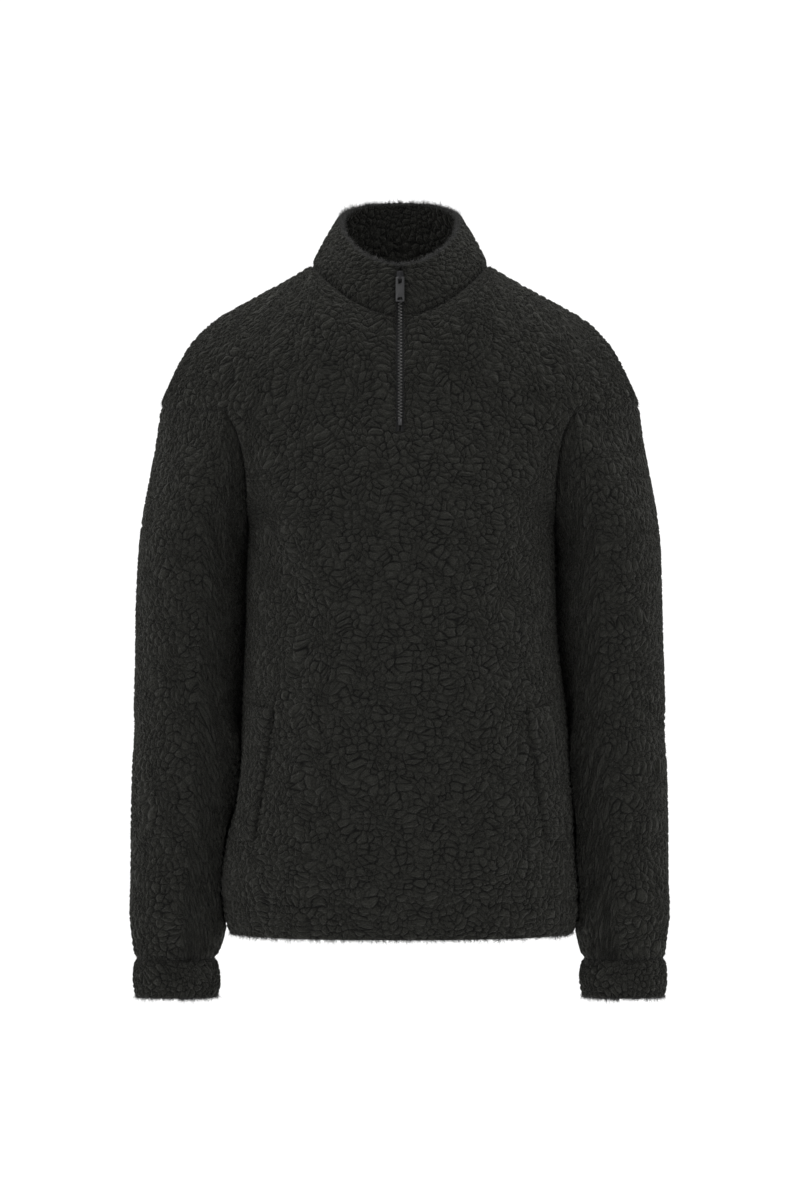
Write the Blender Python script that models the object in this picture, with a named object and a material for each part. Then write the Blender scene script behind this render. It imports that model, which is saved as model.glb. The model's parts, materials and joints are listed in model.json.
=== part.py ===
"""Quarter-zip sherpa sweatshirt, worn form with nobody in it.

Every size is in millimetres until a mesh is made, and Blender's metres after that.
x runs to the wearer's left, y to the back and z up. The origin is the middle of the
shoulder line at the base of the neck, where the wearer's shoulders carry the garment.
"""
import math
from collections import namedtuple

import bmesh
import bpy
import numpy as np

MM = 0.001
WEARERS_RIGHT = -1
WEARERS_LEFT = 1

# Cloth thickness with its pile, and the gap left at each seam
BODY_WALL = 4.0
HEM_WALL = 7.0
COLLAR_WALL = 6.0
CUFF_WALL = 6.0
SEAM_GAP = 0.32
SEAM_CORNER = 0.3
SEAM_MITRE = 0.62
SEAM_FOLD = 0.5
RIM_ROUND = 2.0

# Neck opening where the collar is sewn on
NECK_HALF_WIDTH = 88.0
NECK_FRONT = 93.0
NECK_BACK = 68.0
NECK_DROP = 55.0
NECK_RISE = 8.0

# Body lengths
HEM_HEIGHT = -665.0
HEM_SEAM = -632.0
UNDERARM = -262.0
SLIT_END = -169.5
SLIT_HALF = 4.0

# Columns of the panels: body, shoulder drop beyond the body, and the neck's share of them
BODY_COLUMNS = 9
DROP_COLUMNS = 4
NECK_COLUMNS = 5
YOKE_ROWS = 7
COLLAR_ROWS = 5
CUFF_ROWS = 3

# Horizontal sections of the body between hem and underarm
BodySection = namedtuple("BodySection", "height front back wearers_right wearers_left")
BODY_SECTIONS = (
    BodySection(-665, -117, 106, 170, 173),
    BodySection(-655, -120, 109, 174, 177),
    BodySection(-632, -124, 113, 179, 179),
    BodySection(-600, -128, 116, 180, 177),
    BodySection(-570, -130, 116, 174, 175),
    BodySection(-540, -131, 115, 166, 174),
    BodySection(-500, -132, 114, 160, 171),
    BodySection(-460, -133, 114, 158, 168),
    BodySection(-415, -134, 116, 156, 162),
    BodySection(-370, -135, 119, 154, 157),
    BodySection(-315, -135, 122, 153, 155),
    BodySection(-262, -134, 124, 151, 154),
)
SIDE_SEAM_Y = 5.0
FRONT_FULLNESS = 0.72
SIDE_FULLNESS = 0.68

# Sections from the underarm up to the chest line: the centre, the edge on the armhole and its handle
ArmholeSection = namedtuple(
    "ArmholeSection",
    "centre_y centre_z reach wearers_right wearers_left edge_y edge_z turn_x turn_y turn_z",
)
FRONT_ARMHOLE = (
    ArmholeSection(-132, -236, 103, 152, 154, -32, -243, 0, -60, 0),
    ArmholeSection(-129, -205, 93, 153, 155, -60, -208, 4, -36, 0),
    ArmholeSection(-125, -177, 80, 160, 161, -75, -172, 16, -22, 2),
    ArmholeSection(-119, -150, 68, 172, 172, -77, -148, 36, -21, -1),
)
BACK_ARMHOLE = (
    ArmholeSection(124, -235, 103, 152, 154, 38, -241, 0, 54, 0),
    ArmholeSection(123, -203, 93, 153, 155, 64, -205, 4, 36, 0),
    ArmholeSection(120, -172, 80, 160, 161, 79, -167, 16, 24, 2),
    ArmholeSection(116, -142, 68, 172, 172, 83, -142, 36, 20, -1),
)

# Dropped shoulder: its end on top of the arm, and the handles of the armhole line that runs to it
SHOULDER_END = np.array([239.0, 5.0, -141.0])
DROP_LEAVE_FRONT = np.array([24.0, 14.0, 1.0])
DROP_LEAVE_BACK = np.array([24.0, -13.0, 0.0])
DROP_ARRIVE_FRONT = np.array([0.0, -38.0, -3.0])
DROP_ARRIVE_BACK = np.array([0.0, 38.0, 1.0])

# Line of the shoulder from the neck out to the drop
ShoulderPoint = namedtuple("ShoulderPoint", "across height")
SHOULDER_LINE = (
    ShoulderPoint(88, 0),
    ShoulderPoint(110, -13),
    ShoulderPoint(147, -33),
    ShoulderPoint(185, -54),
    ShoulderPoint(206, -74),
    ShoulderPoint(219, -94),
    ShoulderPoint(228, -114),
    ShoulderPoint(235, -130),
    ShoulderPoint(239, -141),
)

# How the cloth leaves the chest line and arrives at the neck and shoulder seams
YOKE_RISE = 0.5
YOKE_TURN = 0.56
YOKE_LEAN = 0.13
NECK_HANDLE_CENTRE = 9.0
NECK_HANDLE_SIDE = 44.0
NECK_HANDLE_OUT = 12.0
NECK_HANDLE_DROP = 25.0
HANDLE_BLEND_START = 0.6
HANDLE_BLEND_SPAN = 0.8
SHOULDER_DRIFT = 0.4
SHOULDER_SINK = 0.5
CURVE_SAMPLES = 129

# Collar's top edge by its turn from centre front round to centre back
CollarEdge = namedtuple("CollarEdge", "turn across depth height")
COLLAR_EDGE = (
    CollarEdge(0, 0, -88, -7),
    CollarEdge(25, 27, -80, 0),
    CollarEdge(45, 44, -62, 12),
    CollarEdge(65, 56, -36, 28),
    CollarEdge(90, 62, -2, 45),
    CollarEdge(115, 57, 27, 56),
    CollarEdge(145, 37, 50, 64),
    CollarEdge(180, 0, 60, 67),
)
COLLAR_BOW = 2.0

# Horizontal sections of the sleeve below the armhole
SleeveSection = namedtuple(
    "SleeveSection", "height outer_right inner_right outer_left inner_left front back"
)
SLEEVE_SECTIONS = (
    SleeveSection(-300, 262, 148, 261, 150, -74, 88),
    SleeveSection(-340, 264, 146, 262, 148, -71, 88),
    SleeveSection(-400, 265, 148, 264, 151, -66, 88),
    SleeveSection(-460, 267, 150, 266, 155, -62, 85),
    SleeveSection(-520, 269, 154, 268, 160, -60, 79),
    SleeveSection(-580, 269, 162, 268, 164, -57, 70),
    SleeveSection(-630, 269, 171, 268, 173, -52, 58),
    SleeveSection(-665, 268, 175, 267, 176, -46, 44),
    SleeveSection(-682, 266, 180, 265, 180, -42, 35),
    SleeveSection(-691, 264, 184, 264, 183, -40, 31),
)
SLEEVE_SQUARENESS = 2.3
SLEEVE_CLEARANCE = 2.0
SLEEVE_LEAVE_SIDE = 0.7
SLEEVE_HANDLE = 0.4
CUFF_SECTIONS = (
    SleeveSection(-691, 264, 184, 264, 183, -40, 31),
    SleeveSection(-703, 266, 181, 266, 180, -43, 34),
    SleeveSection(-718, 266, 180, 266, 180, -44, 35),
    SleeveSection(-728, 264, 182, 264, 182, -42, 33),
)

# Rows of the meshes
BODY_LEVELS = (-665, -649, -632, -626, -600, -570, -540, -505, -470, -430, -390, -350, -306)
ARMHOLE_LEVELS = (-262, -243, -224, -205, -187, SLIT_END, -150)
SLEEVE_TOP_ROWS = 5
SLEEVE_LEVELS = (-300, -335, -370, -405, -440, -475, -510, -545, -580, -612, -642, -665, -680, -691)

# Soft folds: a line on the front view, how wide it is and how far it lifts or sinks
Fold = namedtuple("Fold", "start_x start_z end_x end_z width lift")
FRONT_FOLDS = (
    Fold(-140, -235, -104, -345, 20, -5.0),
    Fold(-128, -215, -92, -300, 20, 4.0),
    Fold(140, -228, 106, -330, 20, -4.5),
    Fold(127, -212, 96, -300, 20, 3.5),
    Fold(-55, -392, -86, -425, 18, 3.0),
    Fold(60, -396, 88, -428, 18, 3.0),
    Fold(-98, -590, -50, -606, 20, 3.5),
    Fold(50, -604, 100, -588, 20, 3.5),
    Fold(-50, -560, 40, -580, 26, -3.0),
)
BACK_FOLDS = (
    Fold(-138, -230, -96, -350, 22, -5.0),
    Fold(136, -225, 98, -335, 22, -5.0),
    Fold(-60, -420, 10, -440, 28, -4.0),
    Fold(-20, -500, 75, -480, 28, -4.0),
    Fold(-110, -560, -20, -590, 26, 4.0),
    Fold(30, -600, 120, -570, 26, 4.0),
)
# On a sleeve the first value of each pair is the way round in degrees: 0 faces the body, 90 the front
SLEEVE_FOLDS = (
    Fold(75, -215, 60, -330, 22, 4.0),
    Fold(60, -395, 120, -425, 20, -4.0),
    Fold(100, -455, 160, -470, 20, -3.5),
    Fold(215, -380, 300, -400, 24, -4.0),
    Fold(200, -520, 290, -545, 24, -4.0),
    Fold(50, -560, 130, -585, 20, -3.5),
    Fold(60, -640, 150, -648, 16, 3.5),
    Fold(200, -635, 320, -650, 16, 3.5),
)

# Slanted pocket welts: the sewn line and the free edge, from top to bottom
WeltSection = namedtuple("WeltSection", "height sewn free free_height")
WELT_SECTIONS = (
    WeltSection(-441, 123, 145, -438),
    WeltSection(-505, 132, 153, -504),
    WeltSection(-569, 142, 160, -572),
)
WELT_THICK = 4.5
WELT_CLEAR = 0.4
WELT_LIFT = 1.5
WELT_STEPS = 8
WELT_COLUMNS = (0.0, 0.35, 0.7, 1.0)

# Zip: tapes behind the slit, closed chain, stop, slider and pull
TAPE_THICK = 1.0
TAPE_EDGE = 0.6
TAPE_SHARE = 0.5
TAPE_SPREAD = (1.6, 2.6)
CHAIN_HALF = 2.3
CHAIN_THICK = 2.2
CHAIN_BOTTOM = -160.8
CHAIN_TOP = -15.8
STOP_HALF = 2.1
STOP_BOTTOM = -168.4
STOP_TOP = -161.3
STOP_THICK = 2.6
SLIDER_TOP = -12.2
SLIDER_BOTTOM = -23.0
SLIDER_HALF = 3.5
SLIDER_PLATE = (-3.4, -1.3)
SLIDER_FLANGE = (2.85, -5.7)
SLIDER_BACK = (-8.8, -7.8)
SLIDER_BEVEL = 0.35
BACK_BEVEL = 0.25
SLIDER_INSET = 0.5
SLIDER_SKIN = 0.06
BITE = 0.8
BAIL_SKIN = 0.02
SLIDER_POST_HALF = 0.9
SLIDER_POST_LENGTH = 2.8
BAIL_HALF = 0.95
BAIL_LEG = 1.0
BAIL_TOP = 3.8
BAIL_ABOVE = 6.3
BAIL_BELOW = 2.4
HINGE_HEIGHT = -20.0
HINGE_OUT = 1.35
PULL_HALF_WIDTH = 4.3
PULL_THICK = 1.4
PULL_BAR = 0.8
PULL_SLOT_END = 6.0
PULL_HOLE = (19.6, 22.6)
PULL_END = 24.2
PULL_SLOT_HALF = 1.65
PULL_HOLE_HALVES = (2.0, 2.7)

Finish = namedtuple("Finish", "name colour roughness metallic")
SHERPA = Finish("charcoal sherpa", (0.017, 0.017, 0.015), 0.95, 0.0)
TAPE_CLOTH = Finish("zip tape", (0.008, 0.008, 0.008), 0.85, 0.0)
ZIP_METAL = Finish("gunmetal", (0.32, 0.32, 0.31), 0.32, 1.0)


def tangents(knots, values):
    """Slope at each knot from the slopes on its two sides."""
    steps = np.diff(knots)[:, None]
    slopes = np.diff(values, axis=0) / steps
    inner = (steps[1:] * slopes[:-1] + steps[:-1] * slopes[1:]) / (steps[1:] + steps[:-1])
    return np.concatenate([slopes[:1], inner, slopes[-1:]])


def smooth_curve(knots, values, at):
    """Values between the knots on a smooth curve through them all."""
    knots = np.asarray(knots, float)
    table = np.asarray(values, float).reshape(len(knots), -1)
    at = np.atleast_1d(np.asarray(at, float))
    slopes = tangents(knots, table)
    index = np.clip(np.searchsorted(knots, at, side="right") - 1, 0, len(knots) - 2)
    step = (knots[index + 1] - knots[index])[:, None]
    s = (at[:, None] - knots[index][:, None]) / step
    result = (2 * s**3 - 3 * s**2 + 1) * table[index] + (s**3 - 2 * s**2 + s) * step * slopes[index]
    result += (3 * s**2 - 2 * s**3) * table[index + 1] + (s**3 - s**2) * step * slopes[index + 1]
    return result.reshape((len(at),) + np.asarray(values).shape[1:])


def bezier(control, t):
    """Points at t on a cubic curve with four control points."""
    t = np.asarray(t, float)[:, None]
    return (
        (1 - t) ** 3 * control[0]
        + 3 * (1 - t) ** 2 * t * control[1]
        + 3 * (1 - t) * t**2 * control[2]
        + t**3 * control[3]
    )


def along(points, shares):
    """Points at shares of a polyline's length."""
    length = np.concatenate([[0], np.cumsum(np.linalg.norm(np.diff(points, axis=0), axis=1))])
    return np.stack([np.interp(shares * length[-1], length, points[:, k]) for k in range(3)], axis=1)


def even_points(control, start, steps):
    """Points at even distances along a cubic curve, beginning a given distance from its start."""
    dense = bezier(control, np.linspace(0, 1, CURVE_SAMPLES))
    length = np.linalg.norm(np.diff(dense, axis=0), axis=1).sum()
    first = start / length
    return along(dense, first + (1 - first) * np.asarray(steps))


def hull_width(section, side):
    """Half width of a body section on one side."""
    return section.wearers_right if side == WEARERS_RIGHT else section.wearers_left


def body_controls(front, side):
    """Centre heights and control points of the half sections from hem to chest line."""
    levels = []
    controls = []
    for section in BODY_SECTIONS:
        half = hull_width(section, side)
        centre_y = section.front if front else section.back
        turn_y = SIDE_SEAM_Y + SIDE_FULLNESS * (centre_y - SIDE_SEAM_Y)
        levels.append(section.height)
        controls.append([
            (0, centre_y, section.height),
            (side * FRONT_FULLNESS * half, centre_y, section.height),
            (side * half, turn_y, section.height),
            (side * half, SIDE_SEAM_Y, section.height),
        ])
    for section in FRONT_ARMHOLE if front else BACK_ARMHOLE:
        half = hull_width(section, side)
        levels.append(section.centre_z)
        turn_y = section.edge_y + section.turn_y
        turn_z = section.edge_z + section.turn_z
        controls.append([
            (0, section.centre_y, section.centre_z),
            (side * section.reach, section.centre_y, section.centre_z),
            (side * (half - section.turn_x), turn_y, turn_z),
            (side * half, section.edge_y, section.edge_z),
        ])
    return np.array(levels, float), np.array(controls, float)


def half_section(front, side, level):
    """Control points of the half section whose centre is at a height."""
    levels, controls = body_controls(front, side)
    if level <= UNDERARM:
        levels, controls = levels[: len(BODY_SECTIONS)], controls[: len(BODY_SECTIONS)]
    return smooth_curve(levels, controls, level)[0]


def row_levels(front):
    """Centre heights of a panel's rows from the hem to the chest line."""
    low, high = ARMHOLE_LEVELS[0], ARMHOLE_LEVELS[-1]
    top = (FRONT_ARMHOLE if front else BACK_ARMHOLE)[-1].centre_z
    upper = [low + (level - low) * (top - low) / (high - low) for level in ARMHOLE_LEVELS]
    return list(BODY_LEVELS) + upper


def neck_point(turn):
    """Point of the neck seam, by its turn in degrees from centre front."""
    angle = math.radians(turn)
    swing = math.cos(angle)
    depth = -NECK_FRONT * swing if swing > 0 else -NECK_BACK * swing
    height = -NECK_DROP * swing**2 if swing > 0 else NECK_RISE * swing**2
    return np.array([NECK_HALF_WIDTH * math.sin(angle), depth, height])


def front_turns():
    """Turns of the neck seam's points from the zip to the shoulder."""
    first = math.degrees(math.asin(SLIT_HALF / NECK_HALF_WIDTH))
    return np.linspace(first, 90, NECK_COLUMNS + 1)


def back_turns():
    """Turns of the neck seam's points from centre back to the shoulder."""
    return np.linspace(180, 90, NECK_COLUMNS + 1)


def shoulder_points():
    """Even points of the shoulder line from the neck to the drop, for the wearer's left."""
    across = np.array([point.across for point in SHOULDER_LINE], float)
    heights = np.array([point.height for point in SHOULDER_LINE], float)
    share = (across - across[0]) / (across[-1] - across[0])
    line = np.stack([across, SHOULDER_END[1] * share, heights], axis=1)
    dense = smooth_curve(np.arange(len(line)), line, np.linspace(0, len(line) - 1, CURVE_SAMPLES))
    steps = BODY_COLUMNS + DROP_COLUMNS - NECK_COLUMNS
    return along(dense, np.linspace(0, 1, steps + 1))


def yoke_columns(front, side, base):
    """Control points of the columns from the chest line up to the neck and shoulder seams."""
    mirror = np.array([side, 1.0, 1.0])
    turns = front_turns() if front else back_turns()
    forward = -1.0 if front else 1.0
    shoulder = shoulder_points()
    columns = []
    for index, foot in enumerate(base):
        share = index / NECK_COLUMNS
        if share <= 1:
            head = neck_point(turns[index]) * mirror
        else:
            head = shoulder[index - NECK_COLUMNS] * mirror
        swing = math.radians(90 * min(share, 1.0))
        depth = NECK_HANDLE_CENTRE + NECK_HANDLE_SIDE * math.sin(swing)
        outward = side * NECK_HANDLE_OUT * math.sin(swing)
        at_neck = np.array([outward, forward * depth, -NECK_HANDLE_DROP * math.cos(swing)])
        drift = SHOULDER_DRIFT * (foot[0] - head[0])
        at_shoulder = np.array([drift, YOKE_TURN * (foot[1] - head[1]), -SHOULDER_SINK * abs(drift)])
        blend = min(max((share - HANDLE_BLEND_START) / HANDLE_BLEND_SPAN, 0.0), 1.0)
        handle = at_neck + (at_shoulder - at_neck) * blend * blend * (3 - 2 * blend)
        rise = head[2] - foot[2]
        lean = YOKE_LEAN * max(0.0, 1 - index / BODY_COLUMNS)
        lift = np.array([0, -forward * lean, 1.0]) * YOKE_RISE * rise
        columns.append([foot, foot + lift, head + handle, head])
    return np.array(columns)


def chest_line(front, side):
    """Points of the chest line from the centre to the shoulder's end."""
    start = SLIT_HALF if front else 0.0
    level = row_levels(front)[-1]
    inner = even_points(half_section(front, side, level), start, np.linspace(0, 1, BODY_COLUMNS + 1))
    mirror = np.array([side, 1.0, 1.0])
    leave = (DROP_LEAVE_FRONT if front else DROP_LEAVE_BACK) * mirror
    arrive = (DROP_ARRIVE_FRONT if front else DROP_ARRIVE_BACK) * mirror
    end = SHOULDER_END * mirror
    outer = np.array([inner[-1], inner[-1] + leave, end + arrive, end])
    drop = even_points(outer, 0.0, np.linspace(0, 1, DROP_COLUMNS + 1))
    return np.concatenate([inner, drop[1:]])


def half_panel(front, side):
    """Outer points of half a body panel, rows from hem to shoulder and columns from the centre."""
    start = SLIT_HALF if front else 0.0
    wide = BODY_COLUMNS + DROP_COLUMNS + 1
    rows = []
    for level in row_levels(front)[:-1]:
        row = np.full((wide, 3), np.nan)
        steps = np.linspace(0, 1, BODY_COLUMNS + 1)
        row[: BODY_COLUMNS + 1] = even_points(half_section(front, side, level), start, steps)
        rows.append(row)
    base = chest_line(front, side)
    columns = yoke_columns(front, side, base)
    shares = np.linspace(0, 1, YOKE_ROWS + 1)
    yoke = np.stack([bezier(control, shares) for control in columns], axis=1)
    return np.concatenate([np.array(rows), yoke])


def body_grid(front):
    """Outer points of a whole body panel; the back shares its centre column."""
    right = half_panel(front, WEARERS_RIGHT)[:, ::-1]
    left = half_panel(front, WEARERS_LEFT)
    return np.concatenate([right, left if front else left[:, 1:]], axis=1)


def fold_lift(across, height, folds):
    """Lift of the folds at points of a view."""
    lift = np.zeros_like(across)
    for fold in folds:
        run = np.array([fold.end_x - fold.start_x, fold.end_z - fold.start_z], float)
        share = ((across - fold.start_x) * run[0] + (height - fold.start_z) * run[1]) / (run @ run)
        share = np.clip(share, 0, 1)
        off_x = across - fold.start_x - share * run[0]
        off_z = height - fold.start_z - share * run[1]
        lift += fold.lift * np.exp(-(off_x**2 + off_z**2) / fold.width**2)
    return lift


def sleeve_ring(section, side, shares):
    """Points of a sleeve section from the side at the body round by the front."""
    outer, inner = (section.outer_right, section.inner_right)
    if side == WEARERS_LEFT:
        outer, inner = (section.outer_left, section.inner_left)
    angle = np.linspace(0, 2 * math.pi, 2 * CURVE_SAMPLES)
    power = 2 / SLEEVE_SQUARENESS
    cosine = np.sign(np.cos(angle)) * np.abs(np.cos(angle)) ** power
    sine = np.sign(np.sin(angle)) * np.abs(np.sin(angle)) ** power
    x = (outer + inner) / 2 - (outer - inner) / 2 * cosine
    y = (section.front + section.back) / 2 - (section.back - section.front) / 2 * sine
    ring = np.stack([side * x, y, np.full_like(x, section.height)], axis=1)
    return along(ring, shares)


def section_at(table, height):
    """Section of a table at any height between its rows."""
    heights = [row.height for row in table][::-1]
    values = np.array([list(row) for row in table], float)[::-1]
    return type(table[0])(*smooth_curve(heights, values, height)[0])


def clear_of_body(ring, side):
    """Sleeve ring with its inner side moved out to lie just clear of the body."""
    level = ring[0, 2]
    if level < HEM_HEIGHT:
        return ring
    front = bezier(half_section(True, side, level), np.linspace(0, 1, CURVE_SAMPLES))
    back = bezier(half_section(False, side, level), np.linspace(1, 0, CURVE_SAMPLES))
    outline = np.concatenate([front, back[1:]])
    limit = np.interp(ring[:, 1], outline[:, 1], np.abs(outline[:, 0])) + SLEEVE_CLEARANCE
    result = ring.copy()
    result[:, 0] = side * np.maximum(np.abs(ring[:, 0]), limit)
    return result


def armhole_ring(front_grid, back_grid, side):
    """Points of the armhole seam from the underarm up the front, over the arm and down the back."""
    low = len(BODY_LEVELS)
    chest = low + len(ARMHOLE_LEVELS) - 1
    halves = []
    for grid in (front_grid, back_grid):
        columns = grid.shape[1]
        corner = DROP_COLUMNS if side == WEARERS_RIGHT else columns - 1 - DROP_COLUMNS
        steps = range(1, DROP_COLUMNS + 1)
        rise = [grid[row, corner] for row in range(low, chest + 1)]
        drop = [grid[chest, corner + side * step] for step in steps]
        halves.append(np.array(rise + drop))
    return np.concatenate([halves[0], halves[1][::-1][1:-1]])


def ring_steps(ring, half_count):
    """Shares round the sleeve for the armhole's points, by their distance seen from above."""
    closed = np.concatenate([ring, ring[:1]])
    steps = np.linalg.norm(np.diff(closed[:, :2], axis=0), axis=1)
    front = np.concatenate([[0], np.cumsum(steps[:half_count])])
    back = np.concatenate([[0], np.cumsum(steps[half_count:])])
    return np.concatenate([0.5 * front / front[-1], 0.5 + 0.5 * back[1:-1] / back[-1]])


def sleeve_grid(front_grid, back_grid, side):
    """Outer points of a sleeve, rows from the armhole down and columns round it."""
    seam = armhole_ring(front_grid, back_grid, side)
    half_count = len(ARMHOLE_LEVELS) - 1 + DROP_COLUMNS
    shares = ring_steps(seam, half_count)
    rings = [clear_of_body(sleeve_ring(section_at(SLEEVE_SECTIONS, level), side, shares), side)
             for level in SLEEVE_LEVELS]
    first, second = rings[0], rings[1]
    down = (second - first) / np.linalg.norm(second - first, axis=1)[:, None]
    reach = np.linalg.norm(first - seam, axis=1)[:, None]
    leave = (first - seam) * np.array([SLEEVE_LEAVE_SIDE, SLEEVE_LEAVE_SIDE, 1.0])
    leave = leave / np.linalg.norm(leave, axis=1)[:, None]
    top = []
    for share in np.linspace(0, 1, SLEEVE_TOP_ROWS + 1)[:-1]:
        handle = reach * SLEEVE_HANDLE
        control = [seam, seam + leave * handle, first - down * handle, first]
        top.append(
            (1 - share) ** 3 * control[0]
            + 3 * (1 - share) ** 2 * share * control[1]
            + 3 * (1 - share) * share**2 * control[2]
            + share**3 * control[3]
        )
    return np.array(top + rings), shares


def cuff_grid(shares, side):
    """Outer points of a cuff, rows from the sleeve down."""
    levels = np.linspace(CUFF_SECTIONS[0].height, CUFF_SECTIONS[-1].height, CUFF_ROWS + 1)
    return np.array([sleeve_ring(section_at(CUFF_SECTIONS, level), side, shares) for level in levels])


def collar_grid():
    """Outer points of the collar, rows from the neck seam up, columns from zip to zip round the back."""
    left_turns = np.concatenate([front_turns(), back_turns()[::-1][1:]])
    turns = np.concatenate([-left_turns, left_turns[::-1][1:]])
    knots = [edge.turn for edge in COLLAR_EDGE]
    edge_points = np.array([[edge.across, edge.depth, edge.height] for edge in COLLAR_EDGE], float)
    columns = []
    for turn in turns:
        foot = neck_point(turn)
        head = smooth_curve(knots, edge_points, abs(turn))[0]
        head[0] = math.copysign(head[0], turn)
        outward = np.array([math.sin(math.radians(turn)), -math.cos(math.radians(turn)), 0])
        shares = np.linspace(0, 1, COLLAR_ROWS + 1)[:, None]
        bow = COLLAR_BOW * np.sin(math.pi * shares) * outward
        column = foot + (head - foot) * shares + bow
        if abs(turn) == front_turns()[0]:
            column[:, 0] = math.copysign(SLIT_HALF, turn)
        columns.append(column)
    return np.array(columns).transpose(1, 0, 2)


class Wall:
    """A cloth wall: faces of an outer grid, and the way in from each of its points."""

    def __init__(self, name, grid, thickness, finish, closed=False, skip=None, flip=False):
        self.name = name
        self.finish = finish
        self.points = []
        self.thickness = []
        self.faces = []
        self.rounded = set()
        self.index = np.zeros(grid.shape[:2], int)
        known = {}
        for place in np.ndindex(grid.shape[:2]):
            key = tuple(np.round(grid[place], 4))
            if key not in known:
                known[key] = len(self.points)
                self.points.append(grid[place])
                self.thickness.append(thickness[place] if np.ndim(thickness) else thickness)
            self.index[place] = known[key]
        rows, columns = grid.shape[:2]
        for row in range(rows - 1):
            for column in range(columns if closed else columns - 1):
                after = (column + 1) % columns
                if skip is not None and skip(row, column):
                    continue
                ids = [self.index[row, column], self.index[row, after],
                       self.index[row + 1, after], self.index[row + 1, column]]
                corners = [one for place, one in enumerate(ids) if one != ids[place - 1]]
                if len(set(corners)) < 3 or np.isnan([self.points[one] for one in corners]).any():
                    continue
                self.faces.append(corners[::-1] if flip else corners)
        self.points = np.array(self.points)
        self.thickness = np.array(self.thickness)
        self.normals = self.vertex_normals()
        self.inward = -self.normals * self.thickness[:, None]
        self.shift = np.zeros_like(self.points)

    def vertex_normals(self):
        """Unit normals of the outer points."""
        normals = np.zeros_like(self.points)
        for face in self.faces:
            corner = self.points[face]
            across = corner[2] - corner[0]
            normal = np.cross(across, (corner[3] if len(face) == 4 else corner[1]) - corner[1])
            if len(face) == 3:
                normal = np.cross(corner[1] - corner[0], corner[2] - corner[0])
            for one in face:
                normals[one] += normal
        length = np.linalg.norm(normals, axis=1)[:, None]
        return normals / np.maximum(length, 1e-9)

    def square_slit(self):
        """Keeps the walls of the zip's slit upright."""
        for one in np.flatnonzero(np.abs(np.abs(self.points[:, 0]) - SLIT_HALF) < 1e-3):
            depth = np.linalg.norm(self.inward[one])
            self.inward[one, 0] = 0
            self.inward[one] *= depth / np.linalg.norm(self.inward[one])

    def edge_loop(self):
        """Directed edges that only one face has."""
        edges = {}
        for face in self.faces:
            for place, one in enumerate(face):
                edges[(one, face[(place + 1) % len(face)])] = True
        return [edge for edge in edges if (edge[1], edge[0]) not in edges]

    def into_piece(self):
        """Directions from the edge points into the piece."""
        into = np.zeros_like(self.points)
        for face in self.faces:
            middle = self.points[face].mean(axis=0)
            for one in face:
                into[one] += middle - self.points[one]
        return into

    def round_row(self, row):
        """Marks a row of the grid as an edge that is rounded."""
        self.rounded.update(self.index[row].tolist())

    def lift(self, amount):
        """Moves points out along their normals."""
        self.points = self.points + self.normals * amount[:, None]
        self.normals = self.vertex_normals()
        self.inward = -self.normals * self.thickness[:, None]

    def build(self, parent):
        """Makes the closed mesh of the wall."""
        outer = self.points + self.shift
        inner = outer + self.inward
        edges = self.edge_loop()
        rim = {one for edge in edges for one in edge}
        into = self.into_piece()
        mesh = bmesh.new()
        used = sorted({one for face in self.faces for one in face})
        top = {one: mesh.verts.new(outer[one] * MM) for one in used}
        low = {one: mesh.verts.new(inner[one] * MM) for one in used}
        middle = {}
        for one in rim & self.rounded:
            away = -into[one]
            for way in (self.normals[one], self.shift[one]):
                if np.linalg.norm(way) > 0:
                    way = way / np.linalg.norm(way)
                    away = away - way * (away @ way)
            if abs(abs(self.points[one][0]) - SLIT_HALF) < 1e-3:
                away[0] = 0
            away = away / max(np.linalg.norm(away), 1e-9)
            middle[one] = mesh.verts.new(((outer[one] + inner[one]) / 2 + away * RIM_ROUND) * MM)
        for face in self.faces:
            mesh.faces.new([top[one] for one in face])
            mesh.faces.new([low[one] for one in reversed(face)])
        for first, second in edges:
            if first in middle and second in middle:
                mesh.faces.new([top[second], top[first], middle[first], middle[second]])
                mesh.faces.new([middle[second], middle[first], low[first], low[second]])
                continue
            if first in middle or second in middle:
                ring = [top[second], top[first]]
                ring += [middle[first]] if first in middle else []
                ring += [low[first], low[second]]
                ring += [middle[second]] if second in middle else []
                mesh.faces.new(ring)
            elif place_key(self.points[first]) < place_key(self.points[second]):
                mesh.faces.new([top[second], top[first], low[second]])
                mesh.faces.new([top[first], low[first], low[second]])
            else:
                mesh.faces.new([top[second], top[first], low[first]])
                mesh.faces.new([top[second], low[first], low[second]])
        bmesh.ops.triangulate(mesh, faces=[face for face in mesh.faces if len(face.verts) > 3])
        return mesh_object(self.name, mesh, self.finish, parent)


def place_key(point):
    """Name of a place, for finding the points that pieces share."""
    return tuple(np.round(point, 3))


def seam_tangents(walls):
    """Direction of the seam at each shared point of each piece."""
    shared = {}
    for wall in walls:
        for edge in wall.edge_loop():
            ends = frozenset(place_key(wall.points[one]) for one in edge)
            shared.setdefault(ends, []).append((wall, edge))
    directions = {}
    for pair in shared.values():
        if len(pair) == 2:
            for wall, (first, second) in pair:
                step = wall.points[second] - wall.points[first]
                for one in (first, second):
                    known = directions.setdefault((wall.name, one), np.zeros(3))
                    known += step / np.linalg.norm(step)
    return directions


def join_seams(walls):
    """Gives pieces that meet at a seam one inner edge, and parts them by the seam gap."""
    shared = {}
    for wall in walls:
        for one in {one for edge in wall.edge_loop() for one in edge}:
            shared.setdefault(place_key(wall.points[one]), []).append((wall, one))
    tangent = seam_tangents(walls)
    for group in shared.values():
        if len(group) > 1:
            join_point(group, tangent)


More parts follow.
